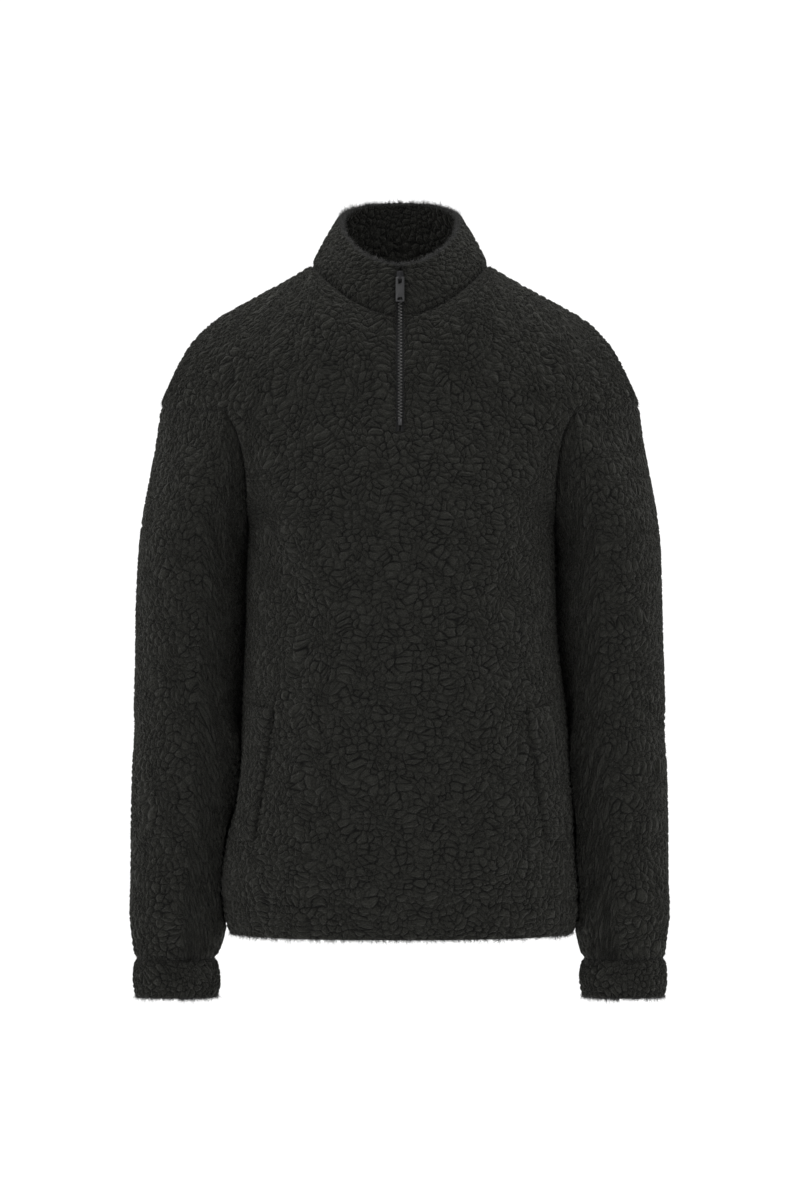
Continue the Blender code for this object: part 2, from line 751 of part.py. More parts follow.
def join_point(group, tangent):
    """Sets the way in and the shift of every piece at one shared point."""
    ways = []
    for wall, one in group:
        into = wall.into_piece()[one]
        along_seam = tangent.get((wall.name, one), np.zeros(3))
        if len(group) == 2 and np.linalg.norm(along_seam) > 0.1:
            along_seam = along_seam / np.linalg.norm(along_seam)
            into = into - along_seam * (into @ along_seam)
        ways.append(into / np.linalg.norm(into))
    normals = [wall.normals[one].copy() for wall, one in group]
    for place, (wall, one) in enumerate(group):
        like = [other for other in range(len(group)) if normals[other] @ normals[place] > SEAM_FOLD]
        common = sum(normals[other] for other in like)
        if len(like) > 1:
            common = common + sum(ways[other] for other in like)
        common = common / np.linalg.norm(common)
        depth = np.mean([
            group[other][0].thickness[group[other][1]] / max(common @ normals[other], SEAM_MITRE)
            for other in like
        ])
        wall.inward[one] = -common * depth
        rest = [other for other in range(len(group)) if other != place]
        apart = ways[place] - np.mean([ways[other] for other in rest], axis=0)
        apart = apart - normals[place] + np.mean([normals[other] for other in rest], axis=0)
        part = SEAM_GAP / 2 if len(group) == 2 else SEAM_CORNER
        wall.shift[one] = apart / np.linalg.norm(apart) * part


def principled(finish):
    """Material of a finish, made once."""
    known = bpy.data.materials.get(finish.name)
    if known:
        return known
    material = bpy.data.materials.new(finish.name)
    material.use_nodes = True
    shader = material.node_tree.nodes["Principled BSDF"]
    shader.inputs["Base Color"].default_value = (*finish.colour, 1.0)
    shader.inputs["Roughness"].default_value = finish.roughness
    shader.inputs["Metallic"].default_value = finish.metallic
    return material


def mesh_object(name, mesh, finish, parent):
    """Named object of a bmesh, shaded smooth, with its own material."""
    data = bpy.data.meshes.new(name)
    mesh.to_mesh(data)
    mesh.free()
    data.shade_smooth()
    data.set_sharp_from_angle(angle=math.radians(50))
    data.materials.append(principled(finish))
    piece = bpy.data.objects.new(name, data)
    piece.parent = parent
    bpy.context.scene.collection.objects.link(piece)
    return piece


def edge_fade(grid, closed=False):
    """Weight of the folds at each point: nothing on the piece's edges, whole two rows in."""
    rows, columns = grid.shape[:2]
    known = ~np.isnan(grid[..., 0])
    depth = np.where(known, 9.0, 0.0)
    for _ in range(3):
        near = [np.pad(depth, ((1, 1), (0, 0)))[:-2], np.pad(depth, ((1, 1), (0, 0)))[2:]]
        if closed:
            near += [np.roll(depth, 1, axis=1), np.roll(depth, -1, axis=1)]
        else:
            near += [np.pad(depth, ((0, 0), (1, 1)))[:, :-2], np.pad(depth, ((0, 0), (1, 1)))[:, 2:]]
        depth = np.where(known, np.minimum(depth, np.minimum.reduce(near) + 1), 0)
    return np.clip((depth - 1) / 2, 0, 1)


def lift_folds(wall, grid, across, folds, closed=False):
    """Raises a wall's folds and fades them out at its edges."""
    fade = edge_fade(grid, closed)
    lift = np.nan_to_num(fold_lift(across, grid[..., 2], folds)) * fade
    amount = np.zeros(len(wall.points))
    amount[wall.index.ravel()] = lift.ravel()
    wall.lift(amount)


def body_wall(name, front, grid):
    """Wall of the front or back panel, with its turned-up hem and, in front, the zip's slit."""
    thickness = np.where(np.nan_to_num(grid[..., 2]) <= HEM_SEAM, HEM_WALL, BODY_WALL)
    slit_row = len(BODY_LEVELS) + ARMHOLE_LEVELS.index(SLIT_END)
    centre = BODY_COLUMNS + DROP_COLUMNS

    def skip(row, column):
        return front and column == centre and row >= slit_row

    wall = Wall(name, grid, thickness, SHERPA, skip=skip, flip=not front)
    wall.round_row(0)
    lift_folds(wall, grid, grid[..., 0], FRONT_FOLDS if front else BACK_FOLDS)
    return wall


def sleeve_wall(name, grid, shares, side):
    """Wall of a sleeve with its folds."""
    wall = Wall(name, grid, BODY_WALL, SHERPA, closed=True, flip=side == WEARERS_LEFT)
    degrees = np.broadcast_to(shares * 360, grid.shape[:2])
    lift_folds(wall, grid, degrees, SLEEVE_FOLDS, closed=True)
    return wall


def front_point(side, across, height):
    """Point and outward normal of the front panel at a place of the front view."""
    def place(x, z):
        row = bezier(half_section(True, side, z), np.linspace(0, 1, CURVE_SAMPLES))
        return np.array([side * x, np.interp(x, np.abs(row[:, 0]), row[:, 1]), z])

    point = place(across, height)
    sideways = place(across + 2, height) - place(across - 2, height)
    upward = place(across, height + 2) - place(across, height - 2)
    normal = np.cross(sideways, upward) * side
    return point, normal / np.linalg.norm(normal)


def pocket_welt(name, side, parent):
    """Slanted welt that lies on the front panel, sewn on its inner edge and lifted at the free one."""
    knots = np.arange(len(WELT_SECTIONS))
    table = np.array([list(row) for row in WELT_SECTIONS], float)
    lines = smooth_curve(knots, table, np.linspace(0, knots[-1], WELT_STEPS + 1))
    rows = []
    ways = []
    for height, sewn, free, free_height in lines:
        row = []
        way = []
        for share in WELT_COLUMNS:
            x = sewn + (free - sewn) * share
            point, normal = front_point(side, x, height + (free_height - height) * share)
            lift = WELT_CLEAR + WELT_LIFT * share**2
            row.append(point + normal * (lift + WELT_THICK))
            way.append(-normal * WELT_THICK)
        rows.append(row)
        ways.append(way)
    wall = Wall(name, np.array(rows), WELT_THICK, SHERPA, flip=side == WEARERS_LEFT)
    wall.inward = np.array(ways).reshape(-1, 3)
    return wall.build(parent)


class ZipLine:
    """Centre line behind the slit, where the zip's parts lie: inner wall points and the way in."""

    def __init__(self, front, collar):
        self.rows = []
        slit_row = len(BODY_LEVELS) + ARMHOLE_LEVELS.index(SLIT_END)
        for row in range(slit_row - 1, front.index.shape[0] - 1):
            self.add(front, row, BODY_COLUMNS + DROP_COLUMNS + 1, 1)
        for row in range(collar.index.shape[0]):
            self.add(collar, row, collar.index.shape[1] - 1, -1)
        self.edge = np.array([row[0] for row in self.rows])
        self.beside = np.array([row[1] for row in self.rows])
        self.way = np.array([row[2] for row in self.rows])

    def add(self, wall, row, column, step):
        """Adds one row of a wall on the wearer's left of the slit."""
        one = wall.index[row, column]
        other = wall.index[row, column + step]
        way = wall.inward[one] * np.array([0, 1, 1])
        edge = wall.points[one] + wall.shift[one] + wall.inward[one]
        beside = wall.points[other] + wall.shift[other] + wall.inward[other]
        self.rows.append((edge, beside, way / np.linalg.norm(way)))

    def at(self, height):
        """Inner wall point on the centre line at a height, and the way in there."""
        point = np.array([0.0] + [np.interp(height, self.edge[:, 2], self.edge[:, k]) for k in (1, 2)])
        way = np.array([0.0] + [np.interp(height, self.edge[:, 2], self.way[:, k]) for k in (1, 2)])
        return point, way / np.linalg.norm(way)


def zip_tape(name, line, side, parent):
    """Woven tape behind one edge of the slit."""
    mirror = np.array([side, 1.0, 1.0])
    spread = [TAPE_EDGE] * (len(line.edge) - 2) + list(TAPE_SPREAD)
    rows = []
    ways = []
    for edge, beside, way, start in zip(line.edge, line.beside, line.way, spread):
        outer = edge + (beside - edge) * TAPE_SHARE
        inner = np.array([start, edge[1], edge[2]])
        rows.append([(point + way * SEAM_GAP) * mirror for point in (inner, edge, outer)])
        ways.append([way * TAPE_THICK * mirror] * 3)
    wall = Wall(name, np.array(rows), TAPE_THICK, TAPE_CLOTH, flip=side == WEARERS_RIGHT)
    wall.inward = np.array(ways).reshape(-1, 3)
    return wall.build(parent)


def zip_strip(name, line, half, thick, low, high, parent):
    """Strip in front of the tapes, between two heights."""
    between = [z for z in line.edge[:, 2] if low + 1 < z < high - 1]
    rows = []
    ways = []
    for height in [low, *between, high]:
        point, way = line.at(height)
        for_side = [point - way * thick + np.array([x, 0, 0]) for x in (-half, 0, half)]
        rows.append(for_side)
        ways.append([way * thick] * 3)
    wall = Wall(name, np.array(rows), thick, ZIP_METAL)
    wall.inward = np.array(ways).reshape(-1, 3)
    return wall.build(parent)


def block(name, low, high, bevel, parent):
    """Metal box between two corners, its edges eased."""
    mesh = bmesh.new()
    bmesh.ops.create_cube(mesh, size=1.0)
    size = np.array(high) - np.array(low)
    middle = (np.array(high) + np.array(low)) / 2
    for vertex in mesh.verts:
        vertex.co = (np.array(vertex.co) * size + middle) * MM
    if bevel:
        bmesh.ops.bevel(mesh, geom=mesh.edges[:], offset=bevel * MM, segments=1, affect="EDGES")
    return mesh_object(name, mesh, ZIP_METAL, parent)


def join_to(base, helper):
    """Joins a helper solid to a base with a union, and hides the helper."""
    union = base.modifiers.new(helper.name, "BOOLEAN")
    union.operation = "UNION"
    union.object = helper
    helper.hide_render = True
    helper.display_type = "WIRE"


def zip_slider(frame):
    """Slider with its two plates, the post between them, its side flanges and the bail."""
    top = SLIDER_TOP - HINGE_HEIGHT
    bottom = SLIDER_BOTTOM - HINGE_HEIGHT

    def depth(out):
        return HINGE_OUT - out

    half = SLIDER_HALF
    back, front = depth(SLIDER_PLATE[0]), depth(SLIDER_PLATE[1])
    rear_front, rear_back = depth(SLIDER_BACK[1]), depth(SLIDER_BACK[0])
    low, high = bottom + SLIDER_INSET, top - SLIDER_INSET
    slider = block("zip_slider", (-half, front, bottom), (half, back, top), SLIDER_BEVEL, frame)
    rear = block("slider_rear", (-half, rear_front, bottom), (half, rear_back, top), BACK_BEVEL, frame)
    post = block("slider_post", (-SLIDER_POST_HALF, back - BITE, top - SLIDER_POST_LENGTH),
                 (SLIDER_POST_HALF, rear_front + BITE / 2, high), 0, frame)
    helpers = [post, rear]
    inner, reach = SLIDER_FLANGE
    for side in (WEARERS_RIGHT, WEARERS_LEFT):
        edges = sorted((side * inner, side * (half - SLIDER_SKIN)))
        helpers.append(block(f"slider_flange_{side}", (edges[0], back - BITE, low),
                             (edges[1], depth(reach), high), 0, frame))
    bail_front = depth(BAIL_TOP)
    foot = front + BITE
    for name, start in (("bail_foot_low", -BAIL_BELOW), ("bail_foot_high", BAIL_ABOVE - BAIL_LEG)):
        helpers.append(block(name, (-BAIL_HALF, bail_front + BAIL_LEG / 2, start),
                             (BAIL_HALF, foot, start + BAIL_LEG), 0, frame))
    wide = BAIL_HALF + BAIL_SKIN
    helpers.append(block("bail_bridge", (-wide, bail_front, -BAIL_BELOW - BAIL_SKIN),
                         (wide, bail_front + BAIL_LEG, BAIL_ABOVE + BAIL_SKIN), BACK_BEVEL, frame))
    for helper in helpers:
        join_to(slider, helper)
    return slider


def zip_pull(frame):
    """Flat pull tab with its slot and its hole, its origin on the bar that turns in the bail."""
    rows = (
        (PULL_BAR, PULL_SLOT_HALF),
        (-PULL_BAR, PULL_SLOT_HALF),
        (-PULL_SLOT_END, PULL_SLOT_HALF),
        (-PULL_HOLE[0], PULL_HOLE_HALVES[0]),
        (-PULL_HOLE[1], PULL_HOLE_HALVES[1]),
        (-PULL_END, PULL_HOLE_HALVES[1]),
    )
    grid = np.array([
        [(x, -PULL_THICK / 2, z) for x in (-PULL_HALF_WIDTH, -half, half, PULL_HALF_WIDTH)]
        for z, half in rows
    ])
    slot, hole = (1, 1), (3, 1)

    def skip(row, column):
        return (row, column) in (slot, hole)

    return Wall("zip_pull", grid, PULL_THICK, ZIP_METAL, skip=skip, flip=True).build(frame)


def zip_frame(line):
    """Empty on the pull's axis, turned to the slope of the collar's front."""
    point, way = line.at(HINGE_HEIGHT)
    outer = point - way * COLLAR_WALL
    axis_point = outer - way * HINGE_OUT
    frame = bpy.data.objects.new("zip_frame", None)
    frame.location = axis_point * MM
    frame.rotation_euler = (math.atan2(way[2], way[1]), 0, 0)
    bpy.context.scene.collection.objects.link(frame)
    return frame


def main():
    """Builds the whole garment."""
    for piece in list(bpy.data.objects):
        bpy.data.objects.remove(piece, do_unlink=True)
    garment = bpy.data.objects.new("sweatshirt", None)
    bpy.context.scene.collection.objects.link(garment)

    front_grid = body_grid(True)
    back_grid = body_grid(False)
    front = body_wall("front_body", True, front_grid)
    back = body_wall("back_body", False, back_grid)
    collar = Wall("collar", collar_grid(), COLLAR_WALL, SHERPA, flip=True)
    collar.round_row(-1)
    walls = [front, back, collar]
    for side, label in ((WEARERS_RIGHT, "right"), (WEARERS_LEFT, "left")):
        grid, shares = sleeve_grid(front_grid, back_grid, side)
        walls.append(sleeve_wall(f"sleeve_{label}", grid, shares, side))
        cuff = Wall(f"cuff_{label}", cuff_grid(shares, side), CUFF_WALL, SHERPA, closed=True,
                    flip=side == WEARERS_LEFT)
        cuff.round_row(-1)
        walls.append(cuff)
    join_seams(walls)
    front.square_slit()
    collar.square_slit()
    for wall in walls:
        wall.build(garment)

    pocket_welt("pocket_welt_right", WEARERS_RIGHT, garment)
    pocket_welt("pocket_welt_left", WEARERS_LEFT, garment)
    line = ZipLine(front, collar)
    zip_tape("zip_tape_right", line, WEARERS_RIGHT, garment)
    zip_tape("zip_tape_left", line, WEARERS_LEFT, garment)
    zip_strip("zip_chain", line, CHAIN_HALF, CHAIN_THICK, CHAIN_BOTTOM, CHAIN_TOP, garment)
    zip_strip("zip_bottom_stop", line, STOP_HALF, STOP_THICK, STOP_BOTTOM, STOP_TOP, garment)
    frame = zip_frame(line)
    frame.parent = garment
    zip_slider(frame)
    zip_pull(frame)


main()
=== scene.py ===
"""Looks of the charcoal sherpa sweatshirt: its pile, seams, zip and finishes, with the light and camera.

Sizes are in millimetres until a mesh is made, and metres after that. x runs to the wearer's
left, y to the back and z up, from the middle of the shoulder line at the base of the neck.
"""

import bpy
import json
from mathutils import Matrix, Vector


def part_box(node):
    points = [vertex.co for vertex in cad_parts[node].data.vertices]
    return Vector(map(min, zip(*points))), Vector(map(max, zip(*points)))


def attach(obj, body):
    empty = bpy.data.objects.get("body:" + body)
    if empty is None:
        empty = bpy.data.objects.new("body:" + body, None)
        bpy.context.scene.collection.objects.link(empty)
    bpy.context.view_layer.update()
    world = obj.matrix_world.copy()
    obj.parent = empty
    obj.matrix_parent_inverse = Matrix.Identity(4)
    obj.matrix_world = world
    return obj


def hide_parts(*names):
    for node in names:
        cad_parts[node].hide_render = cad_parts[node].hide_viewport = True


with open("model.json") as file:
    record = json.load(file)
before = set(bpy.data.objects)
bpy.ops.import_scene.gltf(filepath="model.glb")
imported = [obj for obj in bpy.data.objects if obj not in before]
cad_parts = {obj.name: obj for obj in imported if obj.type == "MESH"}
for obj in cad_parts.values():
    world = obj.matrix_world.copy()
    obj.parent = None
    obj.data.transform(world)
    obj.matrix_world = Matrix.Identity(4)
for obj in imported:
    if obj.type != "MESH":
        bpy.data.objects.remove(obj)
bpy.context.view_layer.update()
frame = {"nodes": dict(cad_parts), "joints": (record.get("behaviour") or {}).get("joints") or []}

import itertools
import json
import logging
import math
from collections import namedtuple
from collections.abc import Callable, Sequence
from dataclasses import dataclass, field
from enum import Enum
from functools import cache, reduce

import bmesh
import bpy
import numpy as np
from mathutils import Matrix, Vector
from mathutils.kdtree import KDTree

MM = 0.001
GARMENT = "garment"
PULL = "zip_pull"
CURVE_STEPS = np.linspace(0, 1, 129)
FULL_TURN = 360.0

Socket = bpy.types.NodeSocket
Outline = list[tuple[float, float]]

log = logging.getLogger("sherpa_sweatshirt")


class Side(Enum):
    """The wearer's sides, with the sign of x there."""

    RIGHT = -1
    LEFT = 1

    @property
    def label(self) -> str:
        """Word for the side in a piece's name."""
        return self.name.lower()

    @property
    def mirror(self) -> np.ndarray:
        """Factors that carry a point of the wearer's left to this side."""
        return np.array([self.value, 1.0, 1.0])


class Panel(Enum):
    """The two body panels, with the way that each faces along y."""

    FRONT = -1
    BACK = 1


BodySection = namedtuple("BodySection", "height front back wearers_right wearers_left")
ArmholeSection = namedtuple(
    "ArmholeSection",
    "centre_y centre_z reach wearers_right wearers_left edge_y edge_z turn_x turn_y turn_z",
)
ShoulderPoint = namedtuple("ShoulderPoint", "across height")
CollarEdge = namedtuple("CollarEdge", "turn across depth height")
SleeveSection = namedtuple(
    "SleeveSection", "height outer_right inner_right outer_left inner_left front back"
)
WeltSection = namedtuple("WeltSection", "height sewn free free_height")
Fold = namedtuple("Fold", "start_x start_z end_x end_z width lift")
ToothRing = namedtuple("ToothRing", "x half_tall half_deep")
Block = namedtuple("Block", "name left right front back low high bevel finish")
Lamp = namedtuple("Lamp", "name place size power")


def smooth_curve(knots: Sequence[float], values: Sequence, at: Sequence[float] | float) -> np.ndarray:
    """Values between the knots on a smooth curve through them all.

    Args:
        knots: rising places of the known values.
        values: one value or row of values for each knot.
        at: places to read the curve at.

    Returns:
        One value or row of values for each place.
    """
    knots = np.asarray(knots, float)
    table = np.asarray(values, float).reshape(len(knots), -1)
    at = np.atleast_1d(np.asarray(at, float))
    steps = np.diff(knots)[:, None]
    slopes = np.diff(table, axis=0) / steps
    inner = (steps[1:] * slopes[:-1] + steps[:-1] * slopes[1:]) / (steps[1:] + steps[:-1])
    slopes = np.concatenate([slopes[:1], inner, slopes[-1:]])
    index = np.clip(np.searchsorted(knots, at, side="right") - 1, 0, len(knots) - 2)
    step = (knots[index + 1] - knots[index])[:, None]
    s = (at[:, None] - knots[index][:, None]) / step
    result = (2 * s**3 - 3 * s**2 + 1) * table[index] + (s**3 - 2 * s**2 + s) * step * slopes[index]
    result += (3 * s**2 - 2 * s**3) * table[index + 1] + (s**3 - s**2) * step * slopes[index + 1]
    return result.reshape((len(at),) + np.asarray(values).shape[1:])


def bezier(control: Sequence, t: Sequence[float]) -> np.ndarray:
    """Points at t on a cubic curve with four control points."""
    control = np.asarray(control, float)
    t = np.asarray(t, float).reshape((-1,) + (1,) * (control.ndim - 1))
    return (
        (1 - t) ** 3 * control[0]
        + 3 * (1 - t) ** 2 * t * control[1]
        + 3 * (1 - t) * t**2 * control[2]
        + t**3 * control[3]
    )


def along(points: np.ndarray, shares: np.ndarray) -> np.ndarray:
    """Points at shares of a polyline's length."""
    length = np.concatenate([[0], np.cumsum(np.linalg.norm(np.diff(points, axis=0), axis=1))])
    return np.stack([np.interp(shares * length[-1], length, points[:, k]) for k in range(3)], axis=1)


def even_points(control: Sequence, start: float, shares: np.ndarray) -> np.ndarray:
    """Points at even distances along a cubic curve.

    Args:
        control: the curve's four control points.
        start: distance of the first point from the curve's start.
        shares: shares of the rest of the curve to read.

    Returns:
        One point for each share.
    """
    dense = bezier(control, CURVE_STEPS)
    length = np.linalg.norm(np.diff(dense, axis=0), axis=1).sum()
    first = start / length
    return along(dense, first + (1 - first) * shares)


def section_at(table: Sequence, height: float) -> tuple:
    """Section of a table at any height between its rows."""
    heights = [row.height for row in table]
    order = np.argsort(heights)
    values = np.array([list(row) for row in table], float)[order]
    return type(table[0])(*smooth_curve(np.array(heights)[order], values, height)[0])


def unit(vectors: np.ndarray) -> np.ndarray:
    """Vectors at length one, and nothing where they have no length."""
    return vectors / np.maximum(np.linalg.norm(vectors, axis=-1, keepdims=True), 1e-9)


def linked(name: str, data: bpy.types.ID) -> bpy.types.Object:
    """New object in the scene."""
    piece = bpy.data.objects.new(name, data)
    bpy.context.scene.collection.objects.link(piece)
    return piece


def finished(name: str, solid: bmesh.types.BMesh) -> bpy.types.Object:
    """New object of a solid that is done."""
    data = bpy.data.meshes.new(name)
    solid.to_mesh(data)
    solid.free()
    return linked(name, data)


def tree_of(points: Sequence) -> KDTree:
    """Tree that finds the nearest of some points."""
    tree = KDTree(len(points))
    for place, point in enumerate(points):
        tree.insert(point, place)
    tree.balance()
    return tree


def ease(values: np.ndarray) -> np.ndarray:
    """Smooth step from 0 to 1 over the values 0 to 1."""
    values = np.clip(values, 0, 1)
    return values * values * (3 - 2 * values)


@dataclass(frozen=True)
class BodyShape:
    """Form of the front and back panels, on to the dropped shoulder."""

    sections: tuple[BodySection, ...] = (
        BodySection(-665, -117, 106, 170, 173),
        BodySection(-655, -120, 109, 174, 177),
        BodySection(-632, -124, 113, 179, 179),
        BodySection(-600, -128, 116, 180, 177),
        BodySection(-570, -130, 116, 174, 175),
        BodySection(-540, -131, 115, 166, 174),
        BodySection(-500, -132, 114, 160, 171),
        BodySection(-460, -133, 114, 158, 168),
        BodySection(-415, -134, 116, 156, 162),
        BodySection(-370, -135, 119, 154, 157),
        BodySection(-315, -135, 122, 153, 155),
        BodySection(-262, -134, 124, 151, 154),
    )
    front_armhole: tuple[ArmholeSection, ...] = (
        ArmholeSection(-132, -236, 103, 152, 154, -32, -243, 0, -60, 0),
        ArmholeSection(-129, -205, 93, 153, 155, -60, -208, 4, -36, 0),
        ArmholeSection(-125, -177, 80, 160, 161, -75, -172, 16, -22, 2),
        ArmholeSection(-119, -150, 68, 172, 172, -77, -148, 36, -21, -1),
    )
    back_armhole: tuple[ArmholeSection, ...] = (
        ArmholeSection(124, -235, 103, 152, 154, 38, -241, 0, 54, 0),
        ArmholeSection(123, -203, 93, 153, 155, 64, -205, 4, 36, 0),
        ArmholeSection(120, -172, 80, 160, 161, 79, -167, 16, 24, 2),
        ArmholeSection(116, -142, 68, 172, 172, 83, -142, 36, 20, -1),
    )
    shoulder_line: tuple[ShoulderPoint, ...] = (
        ShoulderPoint(88, 0),
        ShoulderPoint(110, -13),
        ShoulderPoint(147, -33),
        ShoulderPoint(185, -54),
        ShoulderPoint(206, -74),
        ShoulderPoint(219, -94),
        ShoulderPoint(228, -114),
        ShoulderPoint(235, -130),
        ShoulderPoint(239, -141),
    )
    shoulder_end: tuple[float, float, float] = (239.0, 5.0, -141.0)
    drop_leave: tuple = ((24.0, 14.0, 1.0), (24.0, -13.0, 0.0))
    drop_arrive: tuple = ((0.0, -38.0, -3.0), (0.0, 38.0, 1.0))
    side_seam_y: float = 5.0
    front_fullness: float = 0.72
    side_fullness: float = 0.68
    neck_half_width: float = 88.0
    neck_front: float = 93.0
    neck_back: float = 68.0
    neck_drop: float = 55.0
    neck_rise: float = 8.0
    yoke_rise: float = 0.5
    yoke_turn: float = 0.56
    yoke_lean: float = 0.13
    neck_handle: tuple[float, float, float, float] = (9.0, 44.0, 12.0, 25.0)
    handle_blend: tuple[float, float] = (0.6, 0.8)
    shoulder_drift: float = 0.4
    shoulder_sink: float = 0.5
    hem: float = -665.0
    underarm: float = -262.0
    slit_end: float = -169.5
    slit_half: float = 4.0
    body_columns: int = 108
    neck_columns: int = 60
    drop_columns: int = 48
    slit_columns: int = 3
    rows_to_underarm: int = 196
    rows_to_slit: int = 48
    rows_slit_to_chest: int = 8
    yoke_rows: int = 60

    @property
    def chest_row(self) -> int:
        """Row of the chest line, where the yoke starts."""
        return self.rows_to_underarm + self.rows_to_slit + self.rows_slit_to_chest

    @property
    def slit_row(self) -> int:
        """Row where the zip's slit ends."""
        return self.rows_to_underarm + self.rows_to_slit

    def armhole(self, panel: Panel) -> tuple[ArmholeSection, ...]:
        """Sections between the underarm and the chest line."""
        return self.front_armhole if panel is Panel.FRONT else self.back_armhole

    def controls(self, panel: Panel, side: Side) -> tuple[np.ndarray, np.ndarray]:
        """Centre heights and control points of the half sections from hem to chest line."""
        sign = side.value
        levels = []
        controls = []
        for section in self.sections:
            half = section.wearers_right if side is Side.RIGHT else section.wearers_left
            centre_y = section.front if panel is Panel.FRONT else section.back
            turn_y = self.side_seam_y + self.side_fullness * (centre_y - self.side_seam_y)
            levels.append(section.height)
            controls.append([
                (0, centre_y, section.height),
                (sign * self.front_fullness * half, centre_y, section.height),
                (sign * half, turn_y, section.height),
                (sign * half, self.side_seam_y, section.height),
            ])
        for section in self.armhole(panel):
            half = section.wearers_right if side is Side.RIGHT else section.wearers_left
            turn = (
                sign * (half - section.turn_x),
                section.edge_y + section.turn_y,
                section.edge_z + section.turn_z,
            )
            levels.append(section.centre_z)
            controls.append([
                (0, section.centre_y, section.centre_z),
                (sign * section.reach, section.centre_y, section.centre_z),
                turn,
                (sign * half, section.edge_y, section.edge_z),
            ])
        return np.array(levels, float), np.array(controls, float)

    def half_section(self, panel: Panel, side: Side, level: float) -> np.ndarray:
        """Control points of the half section whose centre is at a height."""
        levels, controls = self.controls(panel, side)
        if level <= self.underarm:
            levels, controls = levels[: len(self.sections)], controls[: len(self.sections)]
        return smooth_curve(levels, controls, level)[0]

    def row_levels(self, panel: Panel) -> np.ndarray:
        """Centre heights of a panel's rows from the hem to the chest line."""
        low = self.underarm
        chest = self.front_armhole[-1].centre_z
        share = (self.armhole(panel)[-1].centre_z - low) / (chest - low)
        below = np.linspace(self.hem, low, self.rows_to_underarm + 1)
        slit = np.linspace(low, self.slit_end, self.rows_to_slit + 1)[1:]
        above = np.linspace(self.slit_end, chest, self.rows_slit_to_chest + 1)[1:]
        return np.concatenate([below, low + (np.concatenate([slit, above]) - low) * share])

    def neck_point(self, turn: float) -> np.ndarray:
        """Point of the neck seam, by its turn in degrees from centre front."""
        swing = math.cos(math.radians(turn))
        depth = -self.neck_front * swing if swing > 0 else -self.neck_back * swing
        height = -self.neck_drop * swing**2 if swing > 0 else self.neck_rise * swing**2
        return np.array([self.neck_half_width * math.sin(math.radians(turn)), depth, height])

    def neck_turns(self, panel: Panel) -> np.ndarray:
        """Turns of the neck seam's points from the panel's centre to the shoulder."""
        first = math.degrees(math.asin(self.slit_half / self.neck_half_width))
        start = first if panel is Panel.FRONT else 180.0
        return np.linspace(start, 90, self.neck_columns + 1)

    def shoulder_points(self) -> np.ndarray:
        """Even points of the shoulder line from the neck to the drop, for the wearer's left."""
        across = np.array([point.across for point in self.shoulder_line], float)
        heights = np.array([point.height for point in self.shoulder_line], float)
        share = (across - across[0]) / (across[-1] - across[0])
        line = np.stack([across, self.shoulder_end[1] * share, heights], axis=1)
        dense = smooth_curve(np.arange(len(line)), line, np.linspace(0, len(line) - 1, 161))
        steps = self.body_columns + self.drop_columns - self.neck_columns
        return along(dense, np.linspace(0, 1, steps + 1))

    def yoke_controls(self, panel: Panel, side: Side, base: np.ndarray) -> np.ndarray:
        """Control points of the columns from the chest line up to the neck and shoulder seams."""
        turns = self.neck_turns(panel)
        shoulder = self.shoulder_points()
        forward = float(panel.value)
        centre, rise_side, out, drop = self.neck_handle
        columns = []
        for index, foot in enumerate(base):
            share = index / self.neck_columns
            if share <= 1:
                head = self.neck_point(turns[index]) * side.mirror
            else:
                head = shoulder[index - self.neck_columns] * side.mirror
            swing = math.radians(90 * min(share, 1.0))
            depth = centre + rise_side * math.sin(swing)
            at_neck = np.array([side.value * out * math.sin(swing), forward * depth, -drop * math.cos(swing)])
            drift = self.shoulder_drift * (foot[0] - head[0])
            turned = self.yoke_turn * (foot[1] - head[1])
            at_shoulder = np.array([drift, turned, -self.shoulder_sink * abs(drift)])
            start, span = self.handle_blend
            handle = at_neck + (at_shoulder - at_neck) * ease(np.array((share - start) / span))
            lean = self.yoke_lean * max(0.0, 1 - index / self.body_columns)
            lift = np.array([0, -forward * lean, 1.0]) * self.yoke_rise * (head[2] - foot[2])
            columns.append([foot, foot + lift, head + handle, head])
        return np.array(columns)

    def half_panel(self, panel: Panel, side: Side) -> np.ndarray:
        """Points of half a panel, rows from hem to shoulder and columns from the centre."""
        start = self.slit_half if panel is Panel.FRONT else 0.0
        wide = self.body_columns + self.drop_columns + 1
        shares = np.linspace(0, 1, self.body_columns + 1)
        levels = self.row_levels(panel)
        rows = np.full((len(levels), wide, 3), np.nan)
        for row, level in enumerate(levels):
            section = self.half_section(panel, side, level)
            rows[row, : self.body_columns + 1] = even_points(section, start, shares)
        place = 0 if panel is Panel.FRONT else 1
        corner = rows[-1, self.body_columns]
        end = np.array(self.shoulder_end) * side.mirror
        leave = np.array(self.drop_leave[place]) * side.mirror
        arrive = np.array(self.drop_arrive[place]) * side.mirror
        drop = [corner, corner + leave, end + arrive, end]
        rows[-1, self.body_columns :] = even_points(drop, 0.0, np.linspace(0, 1, self.drop_columns + 1))
        controls = self.yoke_controls(panel, side, rows[-1])
        yoke = bezier(controls.transpose(1, 0, 2), np.linspace(0, 1, self.yoke_rows + 1))
        return np.concatenate([rows[:-1], yoke])

